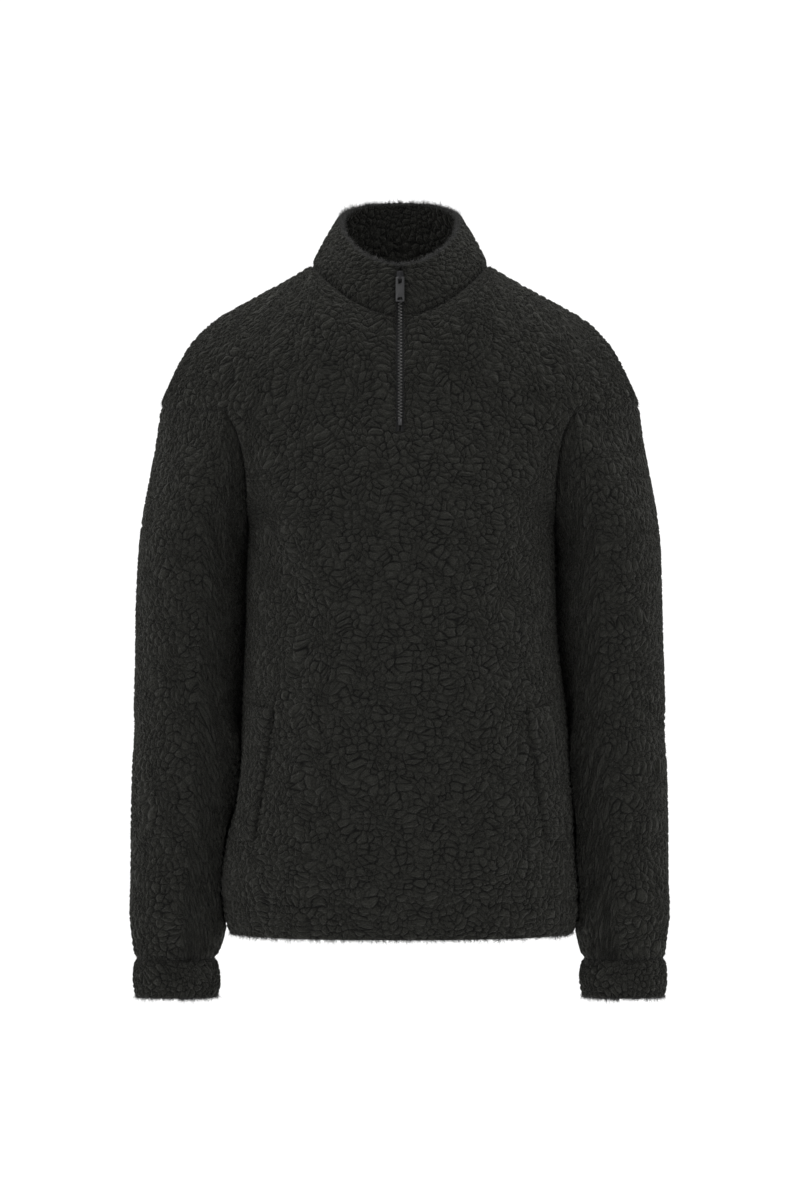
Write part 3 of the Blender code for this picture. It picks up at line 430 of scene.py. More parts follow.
    def grid(self, panel: Panel) -> np.ndarray:
        """Points of a whole panel, from the wearer's right to the left.

        The back shares its centre column. The front has a few columns between the slit's
        edges, up to where the slit ends.
        """
        right = self.half_panel(panel, Side.RIGHT)[:, ::-1]
        left = self.half_panel(panel, Side.LEFT)
        if panel is Panel.BACK:
            return np.concatenate([right, left[:, 1:]], axis=1)
        shares = np.linspace(0, 1, self.slit_columns + 2)[1:-1, None]
        edges = right[:, -1:], left[:, :1]
        middle = edges[0] + (edges[1] - edges[0]) * shares[None]
        middle[self.slit_row + 1 :] = np.nan
        return np.concatenate([right, middle, left], axis=1)

    def front_point(self, side: Side, across: float, height: float) -> tuple[np.ndarray, np.ndarray]:
        """Point and outward normal of the front panel at a place of the front view."""

        def place(x: float, z: float) -> np.ndarray:
            """Point of the panel's surface at x and z."""
            row = bezier(self.half_section(Panel.FRONT, side, z), CURVE_STEPS)
            return np.array([side.value * x, np.interp(x, np.abs(row[:, 0]), row[:, 1]), z])

        step = 2
        sideways = place(across + step, height) - place(across - step, height)
        upward = place(across, height + step) - place(across, height - step)
        return place(across, height), unit(np.cross(sideways, upward) * side.value)


@dataclass(frozen=True)
class SleeveShape:
    """Form of the sleeves, from the dropped armhole down to the cuff seam, and of the cuffs."""

    body: BodyShape = BodyShape()
    sections: tuple[SleeveSection, ...] = (
        SleeveSection(-300, 262, 148, 261, 150, -74, 88),
        SleeveSection(-340, 264, 146, 262, 148, -71, 88),
        SleeveSection(-400, 265, 148, 264, 151, -66, 88),
        SleeveSection(-460, 267, 150, 266, 155, -62, 85),
        SleeveSection(-520, 269, 154, 268, 160, -60, 79),
        SleeveSection(-580, 269, 162, 268, 164, -57, 70),
        SleeveSection(-630, 269, 171, 268, 173, -52, 58),
        SleeveSection(-665, 268, 175, 267, 176, -46, 44),
        SleeveSection(-682, 266, 180, 265, 180, -42, 35),
        SleeveSection(-691, 264, 184, 264, 183, -40, 31),
    )
    cuff_sections: tuple[SleeveSection, ...] = (
        SleeveSection(-691, 264, 184, 264, 183, -40, 31),
        SleeveSection(-703, 266, 181, 266, 180, -43, 34),
        SleeveSection(-718, 266, 180, 266, 180, -44, 35),
        SleeveSection(-728, 264, 182, 264, 182, -42, 33),
    )
    squareness: float = 2.3
    clearance: float = 2.0
    leave_side: float = 0.7
    handle: float = 0.4
    lower_step: float = 35.0
    top_rows: int = 56
    rows: int = 176
    cuff_rows: int = 24

    def ring(self, section: SleeveSection, side: Side, shares: np.ndarray) -> np.ndarray:
        """Points of a section from the side at the body round by the front."""
        outer, inner = (
            (section.outer_right, section.inner_right)
            if side is Side.RIGHT
            else (section.outer_left, section.inner_left)
        )
        angle = np.linspace(0, 2 * math.pi, 481)
        power = 2 / self.squareness
        cosine = np.sign(np.cos(angle)) * np.abs(np.cos(angle)) ** power
        sine = np.sign(np.sin(angle)) * np.abs(np.sin(angle)) ** power
        x = (outer + inner) / 2 - (outer - inner) / 2 * cosine
        y = (section.front + section.back) / 2 - (section.back - section.front) / 2 * sine
        ring = np.stack([side.value * x, y, np.full_like(x, section.height)], axis=1)
        return along(ring, shares)

    def clear_of_body(self, ring: np.ndarray, side: Side) -> np.ndarray:
        """Ring with its inner side moved out to lie just clear of the body."""
        level = ring[0, 2]
        if level < self.body.hem:
            return ring
        front = bezier(self.body.half_section(Panel.FRONT, side, level), CURVE_STEPS)
        back = bezier(self.body.half_section(Panel.BACK, side, level), CURVE_STEPS[::-1])
        outline = np.concatenate([front, back[1:]])
        limit = np.interp(ring[:, 1], outline[:, 1], np.abs(outline[:, 0])) + self.clearance
        result = ring.copy()
        result[:, 0] = side.value * np.maximum(np.abs(ring[:, 0]), limit)
        return result

    def armhole(self, grids: dict[Panel, np.ndarray], side: Side) -> np.ndarray:
        """Points of the armhole seam from the underarm up the front, over the arm and down the back."""
        body = self.body
        halves = []
        for panel in (Panel.FRONT, Panel.BACK):
            grid = grids[panel]
            corner = body.drop_columns if side is Side.RIGHT else grid.shape[1] - 1 - body.drop_columns
            rise = grid[body.rows_to_underarm : body.chest_row + 1, corner]
            steps = corner + side.value * np.arange(1, body.drop_columns + 1)
            halves.append(np.concatenate([rise, grid[body.chest_row, steps]]))
        return np.concatenate([halves[0], halves[1][::-1][1:-1]])

    def shares(self, seam: np.ndarray) -> np.ndarray:
        """Shares round the sleeve for the armhole's points, by their distance seen from above."""
        half = self.body.chest_row - self.body.rows_to_underarm + self.body.drop_columns
        closed = np.concatenate([seam, seam[:1]])
        steps = np.linalg.norm(np.diff(closed[:, :2], axis=0), axis=1)
        front = np.concatenate([[0], np.cumsum(steps[:half])])
        back = np.concatenate([[0], np.cumsum(steps[half:])])
        return np.concatenate([0.5 * front / front[-1], 0.5 + 0.5 * back[1:-1] / back[-1]])

    def grid(self, grids: dict[Panel, np.ndarray], side: Side) -> np.ndarray:
        """Points of a sleeve, rows from the armhole down and columns round it."""
        seam = self.armhole(grids, side)
        shares = self.shares(seam)
        levels = np.linspace(self.sections[0].height, self.sections[-1].height, self.rows + 1)

        def clear_ring(level: float) -> np.ndarray:
            """Ring at a height, clear of the body."""
            return self.clear_of_body(self.ring(section_at(self.sections, level), side, shares), side)

        rings = np.array([clear_ring(level) for level in levels])
        down = unit(clear_ring(levels[0] - self.lower_step) - rings[0])
        away = rings[0] - seam
        reach = np.linalg.norm(away, axis=1)[:, None] * self.handle
        leave = unit(away * np.array([self.leave_side, self.leave_side, 1.0]))
        control = np.array([seam, seam + leave * reach, rings[0] - down * reach, rings[0]])
        top = bezier(control, np.linspace(0, 1, self.top_rows + 1)[:-1])
        return np.concatenate([top, rings])

    def cuff_grid(self, grids: dict[Panel, np.ndarray], side: Side) -> np.ndarray:
        """Points of a cuff, rows from the sleeve down."""
        shares = self.shares(self.armhole(grids, side))
        levels = np.linspace(self.cuff_sections[0].height, self.cuff_sections[-1].height, self.cuff_rows + 1)
        return np.array([self.ring(section_at(self.cuff_sections, level), side, shares) for level in levels])


@dataclass(frozen=True)
class CollarShape:
    """Form of the stand collar, from zip edge to zip edge round the back."""

    body: BodyShape = BodyShape()
    edge: tuple[CollarEdge, ...] = (
        CollarEdge(0, 0, -88, -7),
        CollarEdge(25, 27, -80, 0),
        CollarEdge(45, 44, -62, 12),
        CollarEdge(65, 56, -36, 28),
        CollarEdge(90, 62, -2, 45),
        CollarEdge(115, 57, 27, 56),
        CollarEdge(145, 37, 50, 64),
        CollarEdge(180, 0, 60, 67),
    )
    bow: float = 2.0
    rows: int = 36

    def grid(self) -> np.ndarray:
        """Points of the collar: rows from the neck seam up, columns from the right round the back."""
        left = np.concatenate([self.body.neck_turns(Panel.FRONT), self.body.neck_turns(Panel.BACK)[-2::-1]])
        turns = np.concatenate([-left, left[::-1][1:]])
        knots = [edge.turn for edge in self.edge]
        table = np.array([[edge.across, edge.depth, edge.height] for edge in self.edge], float)
        heads = smooth_curve(knots, table, np.abs(turns))
        heads[:, 0] *= np.sign(turns)
        feet = np.array([self.body.neck_point(turn) for turn in turns])
        angle = np.radians(turns)
        outward = np.stack([np.sin(angle), -np.cos(angle), np.zeros_like(angle)], axis=1)
        shares = np.linspace(0, 1, self.rows + 1)[:, None, None]
        grid = feet + (heads - feet) * shares + self.bow * np.sin(math.pi * shares) * outward
        for column in (0, -1):
            grid[:, column, 0] = math.copysign(self.body.slit_half, turns[column])
        return grid


@dataclass(frozen=True)
class Curls:
    """Pebbled curls of the pile: cells laid out flat on the cloth, with narrow crevices between them."""

    across: float = 8.0
    up: float = 6.9
    wave_size: float = 36.0
    wave_depth: float = 0.16
    wave_spread: tuple[float, float] = (0.6, 1.8)
    waves: int = 6
    pattern_size: float = 40.0
    shoulder: float = 0.3
    seed: int = 11

    def cells(self, flat: np.ndarray) -> np.ndarray:
        """Places in the pattern, one unit a cell, for flat places on the cloth in millimetres."""
        source = np.random.default_rng(self.seed)
        result = flat / np.array([self.across, self.up]) + source.uniform(0, self.pattern_size, 2)
        for axis, _ in itertools.product(range(2), range(self.waves)):
            angle = source.uniform(0, 2 * math.pi)
            way = np.array([math.cos(angle), math.sin(angle)])
            way = way * 2 * math.pi / (self.wave_size * source.uniform(*self.wave_spread))
            result[..., axis] += self.wave_depth * np.sin(flat @ way + source.uniform(0, 2 * math.pi))
        return result

    @staticmethod
    def hashed(*words: np.ndarray) -> np.ndarray:
        """Repeatable values from 0 to 1 for two or three words of 32 bits, as the Voronoi node has them."""

        def turn(value: np.ndarray, steps: int) -> np.ndarray:
            """Bits of a word turned round by some steps."""
            return (value << np.uint32(steps)) | (value >> np.uint32(32 - steps))

        start = np.uint32((0xDEADBEEF + (len(words) << 2) + 13) & 0xFFFFFFFF)
        with np.errstate(over="ignore"):
            a, b = start + words[0], start + words[1]
            c = start + words[2] if len(words) > 2 else np.full_like(a, start)
            for steps_b, steps_c, steps_a in ((14, 11, 25), (16, 4, 14), (24, 0, 0)):
                c = (c ^ b) - turn(b, steps_b)
                if steps_c:
                    a = (a ^ c) - turn(c, steps_c)
                    b = (b ^ a) - turn(a, steps_a)
        return c / 0xFFFFFFFF

    def centres(self, cells: np.ndarray) -> np.ndarray:
        """Centres of whole-numbered cells."""
        words = [np.ascontiguousarray(cells[:, axis], np.float32).view(np.uint32) for axis in (0, 1)]
        one = np.full(len(cells), 1, np.float32).view(np.uint32)
        return cells + np.stack([self.hashed(*words), self.hashed(*words, one)], axis=1)

    def height(self, cells: np.ndarray) -> np.ndarray:
        """Height of the pile at places in the pattern: 0 in a crevice and 1 on top of a curl."""
        base = np.floor(cells)
        ways = itertools.product(range(-2, 3), repeat=2)
        centres = {way: self.centres(base + np.array(way)) - cells for way in ways}
        gaps = {way: np.einsum("ij,ij->i", away, away) for way, away in centres.items()}
        near = np.zeros_like(cells)
        best = np.full(len(cells), np.inf)
        for way, away in centres.items():
            closer = gaps[way] < best
            best = np.where(closer, gaps[way], best)
            near[closer] = away[closer]
        edge = np.full(len(cells), np.inf)
        for away in centres.values():
            between = away - near
            length = np.linalg.norm(between, axis=1)
            middle = np.einsum("ij,ij->i", (near + away) / 2, between) / np.maximum(length, 1e-6)
            edge = np.where(length > 1e-4, np.minimum(edge, middle), edge)
        return ease(edge / self.shoulder)


@dataclass(frozen=True)
class Sherpa:
    """Finish of the sherpa cloth: deep charcoal pile, with shade painted dark into the crevices between its
    curls and knots and along its seams.
    """

    name: str = "charcoal sherpa pile"
    light: tuple[float, float, float] = (0.0212, 0.0214, 0.0185)
    # Colour where the painted shade of the crevices and seams is deepest.
    dark: tuple[float, float, float] = (0.0018, 0.0018, 0.0017)
    # Widths, in cells, of the painted shade in the crevices between curls and between knots.
    crevice: float = 0.17
    knot_shade_width: float = 0.15
    wobble: float = 0.5
    drift_scale: float = 1.35
    knot_scale: float = 2.2
    patch_scale: float = 0.45
    spot_scale: float = 0.9
    shade_scale: float = 1.1
    # Ranges of the painted crevice shade's uneven depth, then of the random speckle and the random tone.
    crevice_shade_range: tuple[float, ...] = (0.38, 0.6, 0.45, 0.95)
    knot_shade_range: tuple[float, ...] = (0.42, 0.65, 0.05, 0.6)
    speck_range: tuple[float, ...] = (0.34, 0.66, 0.36, 1.5)
    shade_range: tuple[float, ...] = (0.3, 0.7, 0.82, 1.12)
    # How far the seam attribute's painted shade darkens the colour.
    seam_shade_strength: float = 0.6
    fibre_size: float = 1.0
    curl_shoulder: float = 0.42
    knot_shoulder: float = 0.4
    strength: float = 0.9
    curl_depth: float = 0.0022
    knot_depth: float = 0.0009
    fibre_depth: float = 0.0009
    sheen: float = 0.105

    def edges(self, board: "NodeBoard", place: Socket, scale: float) -> Socket:
        """Distance from the nearest crevice between the cells at a scale, in cells."""
        cells = board.add("ShaderNodeTexVoronoi", Scale=scale)
        cells.feature = "DISTANCE_TO_EDGE"
        cells.voronoi_dimensions = "2D"
        board.join(place, cells.inputs["Vector"])
        return cells.outputs["Distance"]

    @staticmethod
    def tone(board: "NodeBoard", edge: Socket, crevice: float, depth: Socket) -> Socket:
        """Painted shade of cells by the distance from their edge: 1, and less by a depth within the crevice,
        where shade falls.
        """
        away = board.math("SUBTRACT", 1.0, board.ranged(edge, 0.0, crevice, 0.0, 1.0))
        return board.math("SUBTRACT", 1.0, board.math("MULTIPLY", depth, away))

    @cache
    def material(self) -> bpy.types.Material:
        """Material whose crevices lie where the mesh has them, with knots and fibres of its own, and shade
        painted dark into the crevices.
        """
        board = NodeBoard(self.name)
        place = board.add("ShaderNodeTexCoord").outputs["Object"]
        flat = board.add("ShaderNodeUVMap")
        flat.uv_map = "curls"
        pattern = flat.outputs["UV"]
        drift = board.noise(pattern, self.drift_scale, 3.0)
        centred = board.vector("SUBTRACT", drift.outputs["Color"], (0.5, 0.5, 0.5))
        wandering = board.vector("MULTIPLY_ADD", centred, (self.wobble,) * 3, pattern)
        curl_edge = self.edges(board, wandering, 1.0)
        knot_edge = self.edges(board, wandering, self.knot_scale)
        patches = board.noise(pattern, self.patch_scale, 2.0).outputs["Fac"]
        spots = board.noise(pattern, self.spot_scale, 2.0).outputs["Fac"]
        fibres = board.noise(place, 1 / (self.fibre_size * MM), 2.0).outputs["Fac"]
        patchy = board.noise(pattern, self.shade_scale, 1.0).outputs["Fac"]
        # Factors of the colour: painted shade in the crevices between curls and between knots, random fibre
        # speckle, random tone, and painted shade from the seam attribute.
        tones = [
            self.tone(board, curl_edge, self.crevice, board.ranged(patches, *self.crevice_shade_range)),
            self.tone(board, knot_edge, self.knot_shade_width, board.ranged(spots, *self.knot_shade_range)),
            board.ranged(fibres, *self.speck_range),
            board.ranged(patchy, *self.shade_range),
            board.math("MULTIPLY_ADD", board.attribute("seam"), -self.seam_shade_strength, 1.0),
        ]
        amount = reduce(lambda before, tone: board.math("MULTIPLY", before, tone), tones)
        colour = board.mix(amount, self.dark, self.light)
        curl_top = board.ranged(curl_edge, 0.0, self.curl_shoulder, 0.0, 1.0)
        knot_top = board.ranged(knot_edge, 0.0, self.knot_shoulder, 0.0, 1.0)
        bump = board.bump(curl_top, self.curl_depth, self.strength)
        bump = board.bump(knot_top, self.knot_depth, self.strength, below=bump)
        bump = board.bump(fibres, self.fibre_depth, self.strength, below=bump)
        shader = board.shader
        board.join(colour, shader.inputs["Base Color"])
        board.join(bump, shader.inputs["Normal"])
        shader.inputs["Roughness"].default_value = 0.95
        shader.inputs["Specular IOR Level"].default_value = 0.1
        shader.inputs["Sheen Weight"].default_value = self.sheen
        shader.inputs["Sheen Roughness"].default_value = 0.38
        shader.inputs["Sheen Tint"].default_value = (0.8, 0.8, 0.74, 1.0)
        return board.material


@dataclass(frozen=True)
class Fibre:
    """Finish of the loose fibres that stand out of the pile."""

    name: str = "loose fibres"
    colour: tuple[float, float, float] = (0.0125, 0.0125, 0.0116)
    patch: float = 6.25
    uneven: tuple[float, float] = (1.2, 0.2)

    @cache
    def material(self) -> bpy.types.Material:
        """Soft dark material, a little uneven from fibre to fibre."""
        board = NodeBoard(self.name)
        place = board.add("ShaderNodeTexCoord").outputs["Object"]
        noise = board.noise(place, 1 / (self.patch * MM), 1.0)
        amount = board.math("MULTIPLY_ADD", noise.outputs["Fac"], *self.uneven)
        dark = tuple(0.5 * value for value in self.colour)
        board.join(board.mix(amount, dark, self.colour), board.shader.inputs["Base Color"])
        board.shader.inputs["Roughness"].default_value = 0.8
        board.shader.inputs["Sheen Weight"].default_value = 0.06
        return board.material


@dataclass(frozen=True)
class TapeWeave:
    """Finish of the zip's tape: a fine black twill."""

    name: str = "zip tape weave"
    light: tuple[float, float, float] = (0.013, 0.013, 0.013)
    dark: tuple[float, float, float] = (0.004, 0.004, 0.004)
    rib: float = 0.7

    @cache
    def material(self) -> bpy.types.Material:
        """Ribs along the tape crossed by finer threads."""
        board = NodeBoard(self.name)
        place = board.add("ShaderNodeTexCoord").outputs["Object"]
        waves = []
        for direction, share, wander in (("DIAGONAL", 0.32, 0.4), ("Z", 0.5, 0.6)):
            wave = board.add("ShaderNodeTexWave", Scale=share / (self.rib * MM), Distortion=wander)
            wave.bands_direction = direction
            board.join(place, wave.inputs["Vector"])
            waves.append(wave.outputs["Fac"])
        weave = board.math("MULTIPLY", *waves)
        board.join(board.mix(weave, self.dark, self.light), board.shader.inputs["Base Color"])
        board.join(board.bump(weave, 0.0002, 0.8), board.shader.inputs["Normal"])
        board.shader.inputs["Roughness"].default_value = 0.8
        return board.material


@dataclass(frozen=True)
class Metal:
    """Finish of the zip's metal parts, brushed and a little worn in random patches."""

    name: str
    colour: tuple[float, float, float]
    worn: tuple[float, float, float]
    roughness: float
    spread: float = 0.16
    grain: float = 0.5
    patch: float = 6.0

    @cache
    def material(self) -> bpy.types.Material:
        """Metal with a fine grain in its gloss and its colour."""
        board = NodeBoard(self.name)
        place = board.add("ShaderNodeTexCoord").outputs["Object"]
        grain = board.noise(place, 1 / (self.grain * MM), 3.0)
        patch = board.noise(place, 1 / (self.patch * MM), 2.0)
        board.join(board.mix(patch.outputs["Fac"], self.colour, self.worn), board.shader.inputs["Base Color"])
        lowest = self.roughness - self.spread / 2
        rough = board.math("MULTIPLY_ADD", grain.outputs["Fac"], self.spread, lowest)
        board.join(rough, board.shader.inputs["Roughness"])
        board.join(board.bump(grain.outputs["Fac"], 0.00003, 0.5), board.shader.inputs["Normal"])
        board.shader.inputs["Metallic"].default_value = 1.0
        return board.material


@dataclass(frozen=True)
class Paper:
    """Finish of the plain pale floor and backdrop."""

    name: str = "pale backdrop"
    colour: tuple[float, float, float] = (0.94, 0.94, 0.94)
    glow: float = 0.12

    @cache
    def material(self) -> bpy.types.Material:
        """Matt material with a trace of unevenness."""
        board = NodeBoard(self.name)
        noise = board.add("ShaderNodeTexNoise", Scale=1.5, Detail=1.0)
        dark = tuple(0.985 * value for value in self.colour)
        board.join(board.mix(noise.outputs["Fac"], dark, self.colour), board.shader.inputs["Base Color"])
        board.shader.inputs["Roughness"].default_value = 1.0
        board.shader.inputs["Specular IOR Level"].default_value = 0.0
        board.shader.inputs["Emission Color"].default_value = (1.0, 1.0, 1.0, 1.0)
        board.shader.inputs["Emission Strength"].default_value = self.glow
        return board.material


class NodeBoard:
    """A material's nodes, with short ways to add and join them."""

    def __init__(self, name: str) -> None:
        """Starts a material with one main shader."""
        self.material = bpy.data.materials.new(name)
        self.material.use_nodes = True
        self.tree = self.material.node_tree
        self.shader = self.tree.nodes["Principled BSDF"]

    def add(self, kind: str, **inputs: float) -> bpy.types.Node:
        """Adds a node with some of its inputs set."""
        node = self.tree.nodes.new(kind)
        for name, value in inputs.items():
            node.inputs[name].default_value = value
        return node

    def join(self, output: Socket, socket: Socket) -> None:
        """Links an output to an input."""
        self.tree.links.new(output, socket)

    def feed(self, value: Socket | float, socket: Socket) -> None:
        """Links an output to an input, or sets it to a number."""
        if isinstance(value, Socket):
            self.join(value, socket)
        else:
            socket.default_value = value

    def noise(self, place: Socket, scale: float, detail: float) -> bpy.types.Node:
        """Noise at a scale, read at a place."""
        node = self.add("ShaderNodeTexNoise", Scale=scale, Detail=detail)
        self.join(place, node.inputs["Vector"])
        return node

    def ranged(self, value: Socket, *limits: float) -> Socket:
        """Value carried smoothly from its own two limits to two others."""
        node = self.add("ShaderNodeMapRange")
        node.interpolation_type = "SMOOTHSTEP"
        for socket, amount in zip(node.inputs, (value, *limits)):
            self.feed(amount, socket)
        return node.outputs["Result"]

    def vector(self, operation: str, *values: Socket | tuple) -> Socket:
        """Result of a sum on up to three vectors."""
        node = self.add("ShaderNodeVectorMath")
        node.operation = operation
        for value, socket in zip(values, node.inputs):
            self.feed(value, socket)
        return node.outputs["Vector"]

    def attribute(self, name: str) -> Socket:
        """Value that the mesh keeps at each point."""
        node = self.add("ShaderNodeAttribute")
        node.attribute_name = name
        return node.outputs["Fac"]

    def math(self, operation: str, *values: Socket | float) -> Socket:
        """Result of a sum on up to three values."""
        node = self.add("ShaderNodeMath")
        node.operation = operation
        for value, socket in zip(values, node.inputs):
            self.feed(value, socket)
        return node.outputs["Value"]

    def mix(self, amount: Socket, low: Sequence[float], high: Sequence[float]) -> Socket:
        """Colour between two colours."""
        node = self.add("ShaderNodeMix")
        node.data_type = "RGBA"
        node.clamp_factor = True
        self.join(amount, node.inputs["Factor"])
        colours = [socket for socket in node.inputs if socket.type == "RGBA"]
        for socket, colour in zip(colours, (low, high)):
            socket.default_value = (*colour, 1.0)
        return next(socket for socket in node.outputs if socket.type == "RGBA")

    def bump(self, height: Socket, depth: float, strength: float, below: Socket | None = None) -> Socket:
        """Normal that a height gives.

        Args:
            height: the height, from 0 to 1.
            depth: metres between the lowest and the highest.
            strength: share of the bump that is used.
            below: normal of a coarser bump that this one lies on.

        Returns:
            The normal's output.
        """
        node = self.add("ShaderNodeBump", Strength=strength, Distance=depth)
        self.join(height, node.inputs["Height"])
        if below is not None:
            self.join(below, node.inputs["Normal"])
        return node.outputs["Normal"]


SHERPA = Sherpa()
FIBRE = Fibre()
TAPE = TapeWeave()
GUNMETAL = Metal("gunmetal zip", (0.034, 0.034, 0.035), (0.055, 0.055, 0.056), 0.38)
DARK_METAL = Metal("gunmetal slider plate", (0.016, 0.016, 0.017), (0.03, 0.03, 0.031), 0.42)
BRIGHT_METAL = Metal("gunmetal teeth", (0.07, 0.07, 0.069), (0.12, 0.12, 0.118), 0.3)


@dataclass
class Cloth:
    """A piece of pile cloth: an outer surface with curls, an inner surface and the rims between them."""

    name: str
    grid: np.ndarray
    thickness: np.ndarray | float
    closed: bool = False
    flip: bool = False
    skip: Callable[[int, int], bool] | None = None
    inner_step: int = 4
    pile_inside: bool = False
    folds: tuple[Fold, ...] = ()
    fold_across: np.ndarray | None = None
    fold_fade: float = 34.0
    curls: Curls = Curls()
    pile: float = 2.0
    seam_depth: float = 1.3
    seam_reach: float = 5.0
    seam_round: bool = False
    seam_shade: float = 1.0
    middle_column: int = 0
    rim_rows: tuple[int, ...] = ()
    rim_round: float = 2.0
    rim_pile: float = 0.4
    rim_fade: float = 3.0
    level_height: float = 0.6
    inside_shift: float = 60.0
    inner_shift: float = 0.7
    inner_shade: float = 0.3
    trough_shade: float = 0.35
    troughs: list[tuple[np.ndarray, float, float]] = field(default_factory=list)

    def __post_init__(self) -> None:
        """Numbers the grid's points and finds the outer faces, edges and normals."""
        if self.closed:
            self.grid = np.concatenate([self.grid, self.grid[:, :1]], axis=1)
        known = ~np.isnan(self.grid[..., 0])
        places, index = np.unique(np.round(self.grid[known], 3), axis=0, return_inverse=True)
        self.index = np.full(self.grid.shape[:2], -1)
        self.index[known] = index.ravel()
        self.points = places.astype(float)
        self.flat = self.curls.cells(self.flat_places())
        self.depth = self.at_points(np.broadcast_to(self.thickness, self.index.shape))
        self.pattern = np.stack([self.at_points(self.flat[..., axis]) for axis in (0, 1)], axis=1)
        self.cell_faces = self.cells(1)
        self.faces = self.numbered(self.cell_faces)
        self.normals = self.face_normals()
        self.edges = self.edge_steps(self.faces)
        self.joined: dict[int, np.ndarray] = {}
        self.rims = {int(one) for row in self.rim_rows for one in self.index[row] if one >= 0}
        self.rim_gap = self.gap(sorted(self.rims))
        self.edge_gap = self.gap([one for one in self.edges if one not in self.rims])
        self.rim_faces: dict[int, list[list[int]]] = {}
        for face in self.faces:
            for corner in self.rims.intersection(face):
                self.rim_faces.setdefault(corner, []).append(face)

    def at_points(self, values: np.ndarray) -> np.ndarray:
        """Values of the grid's places, carried to its points."""
        result = np.zeros(len(self.points))
        known = self.index >= 0
        result[self.index[known][::-1]] = values[known][::-1]
        return result

    def flat_places(self) -> np.ndarray:
        """Places on the flat cloth, by distance from a middle column and up along the columns."""
        across = np.linalg.norm(np.diff(self.grid, axis=1), axis=2)
        across[0] = np.nan_to_num(across[0])
        for row in range(1, len(across)):
            lost = np.isnan(across[row])
            across[row][lost] = across[row - 1][lost]
        sideways = np.concatenate([np.zeros((len(across), 1)), np.cumsum(across, axis=1)], axis=1)
        sideways -= sideways[:, self.middle_column][:, None]
        along_columns = np.nan_to_num(np.linalg.norm(np.diff(self.grid, axis=0), axis=2))
        upward = np.concatenate([np.zeros((1, self.grid.shape[1])), np.cumsum(along_columns, axis=0)])
        first = np.argmax(self.index >= 0, axis=0)
        full = np.flatnonzero(first == 0)
        for column in np.flatnonzero(first > 0):
            nearest = full[np.argmin(np.abs(full - column))]
            upward[:, column] += upward[first[column], nearest]
        return np.stack([sideways, upward], axis=-1)

    def cells(self, step: int) -> list[list[int]]:
        """Faces of every step-th row and column, as places in the grid, turned outwards."""
        index = self.index.ravel()
        places = np.arange(index.size).reshape(self.index.shape)[::step, ::step]
        corners = np.stack([places[:-1, :-1], places[:-1, 1:], places[1:, 1:], places[1:, :-1]], axis=-1)
        faces = []
        for row, column in np.argwhere((index[corners] >= 0).all(axis=-1)):
            if self.skip is not None and self.skip(row * step, column * step):
                continue
            face = corners[row, column].tolist()
            face = [one for place, one in enumerate(face) if index[one] != index[face[place - 1]]]
            if len(face) > 2:
                faces.append(face[::-1] if self.flip else face)
        return faces

    def numbered(self, faces: list[list[int]]) -> list[list[int]]:
        """Faces by their points instead of their places in the grid."""
        index = self.index.ravel().tolist()
        return [[index[one] for one in face] for face in faces]

    def face_normals(self) -> np.ndarray:
        """Unit normals at the points, from the faces round them."""
        normals = np.zeros_like(self.points)
        for size in (3, 4):
            some = np.array([face for face in self.faces if len(face) == size], int).reshape(-1, size)
            corner = self.points[some]
            normal = np.cross(corner[:, 2] - corner[:, 0], corner[:, size - 1] - corner[:, 1])
            if size == 3:
                normal = np.cross(corner[:, 1] - corner[:, 0], corner[:, 2] - corner[:, 0])
            for place in range(size):
                np.add.at(normals, some[:, place], normal)
        return unit(normals)

    @staticmethod
    def edge_steps(faces: list[list[int]]) -> dict[int, int]:
        """Steps from point to point along the edges that only one face has."""
        steps = set()
        for face in faces:
            steps.update(zip(face, face[1:] + face[:1]))
        return {start: end for start, end in steps if (end, start) not in steps}

    def gap(self, ones: list[int]) -> np.ndarray:
        """Distance of each point from the nearest of some points."""
        return distances(self.points, self.points[ones])

    def fold_lift(self) -> np.ndarray:
        """Height of the soft folds at each point, nothing at the piece's edges."""
        across = self.points[:, 0]
        if self.fold_across is not None:
            across = self.at_points(np.broadcast_to(self.fold_across, self.index.shape))
        lift = np.zeros(len(self.points))
        for fold in self.folds:
            run = np.array([fold.end_x - fold.start_x, fold.end_z - fold.start_z], float)
            share = (across - fold.start_x) * run[0] + (self.points[:, 2] - fold.start_z) * run[1]
            share = np.clip(share / (run @ run), 0, 1)
            off_x = across - fold.start_x - share * run[0]
            off_z = self.points[:, 2] - fold.start_z - share * run[1]
            lift += fold.lift * np.exp(-(off_x**2 + off_z**2) / fold.width**2)
        return lift * ease(np.minimum(self.edge_gap, self.rim_gap) / self.fold_fade)

    def seam_share(self) -> np.ndarray:
        """How near each point is to a sewn edge, from 1 at the edge to 0 past the seam's reach."""
        share = np.clip(self.edge_gap / self.seam_reach, 0, 1)
        return 1 - (np.sqrt(1 - (1 - share) ** 2) if self.seam_round else ease(share))

    def surface(self) -> None:
        """Gives the outer points their folds, curls and seams, and the painted shade of the seams and
        troughs.
        """
        height = self.curls.height(self.pattern)
        seam = self.seam_share()
        steady = self.rim_pile + (1 - self.rim_pile) * ease(self.rim_gap / self.rim_fade)
        lift = self.fold_lift() - self.seam_depth * seam
        lift += (height - self.level_height) * self.pile * (1 - seam) * steady
        # Painted shade: the colour darkens in the sunk seams and in the hem's trough.
        dark = seam.copy()
        for line, width, depth in self.troughs:
            trough = np.exp(-((distances(self.points, line) / width) ** 2))
            lift -= depth * trough
            dark = np.maximum(dark, self.trough_shade * trough)
        self.seam = dark * self.seam_shade
        self.outer = self.points + self.normals * lift[:, None]
        inward = self.depth - self.fold_lift()
        if self.pile_inside:
            height = self.curls.height(self.pattern + self.inside_shift)
            inward += (height - self.level_height) * self.pile * (1 - seam) * steady
        self.inner = self.points - self.normals * inward[:, None]

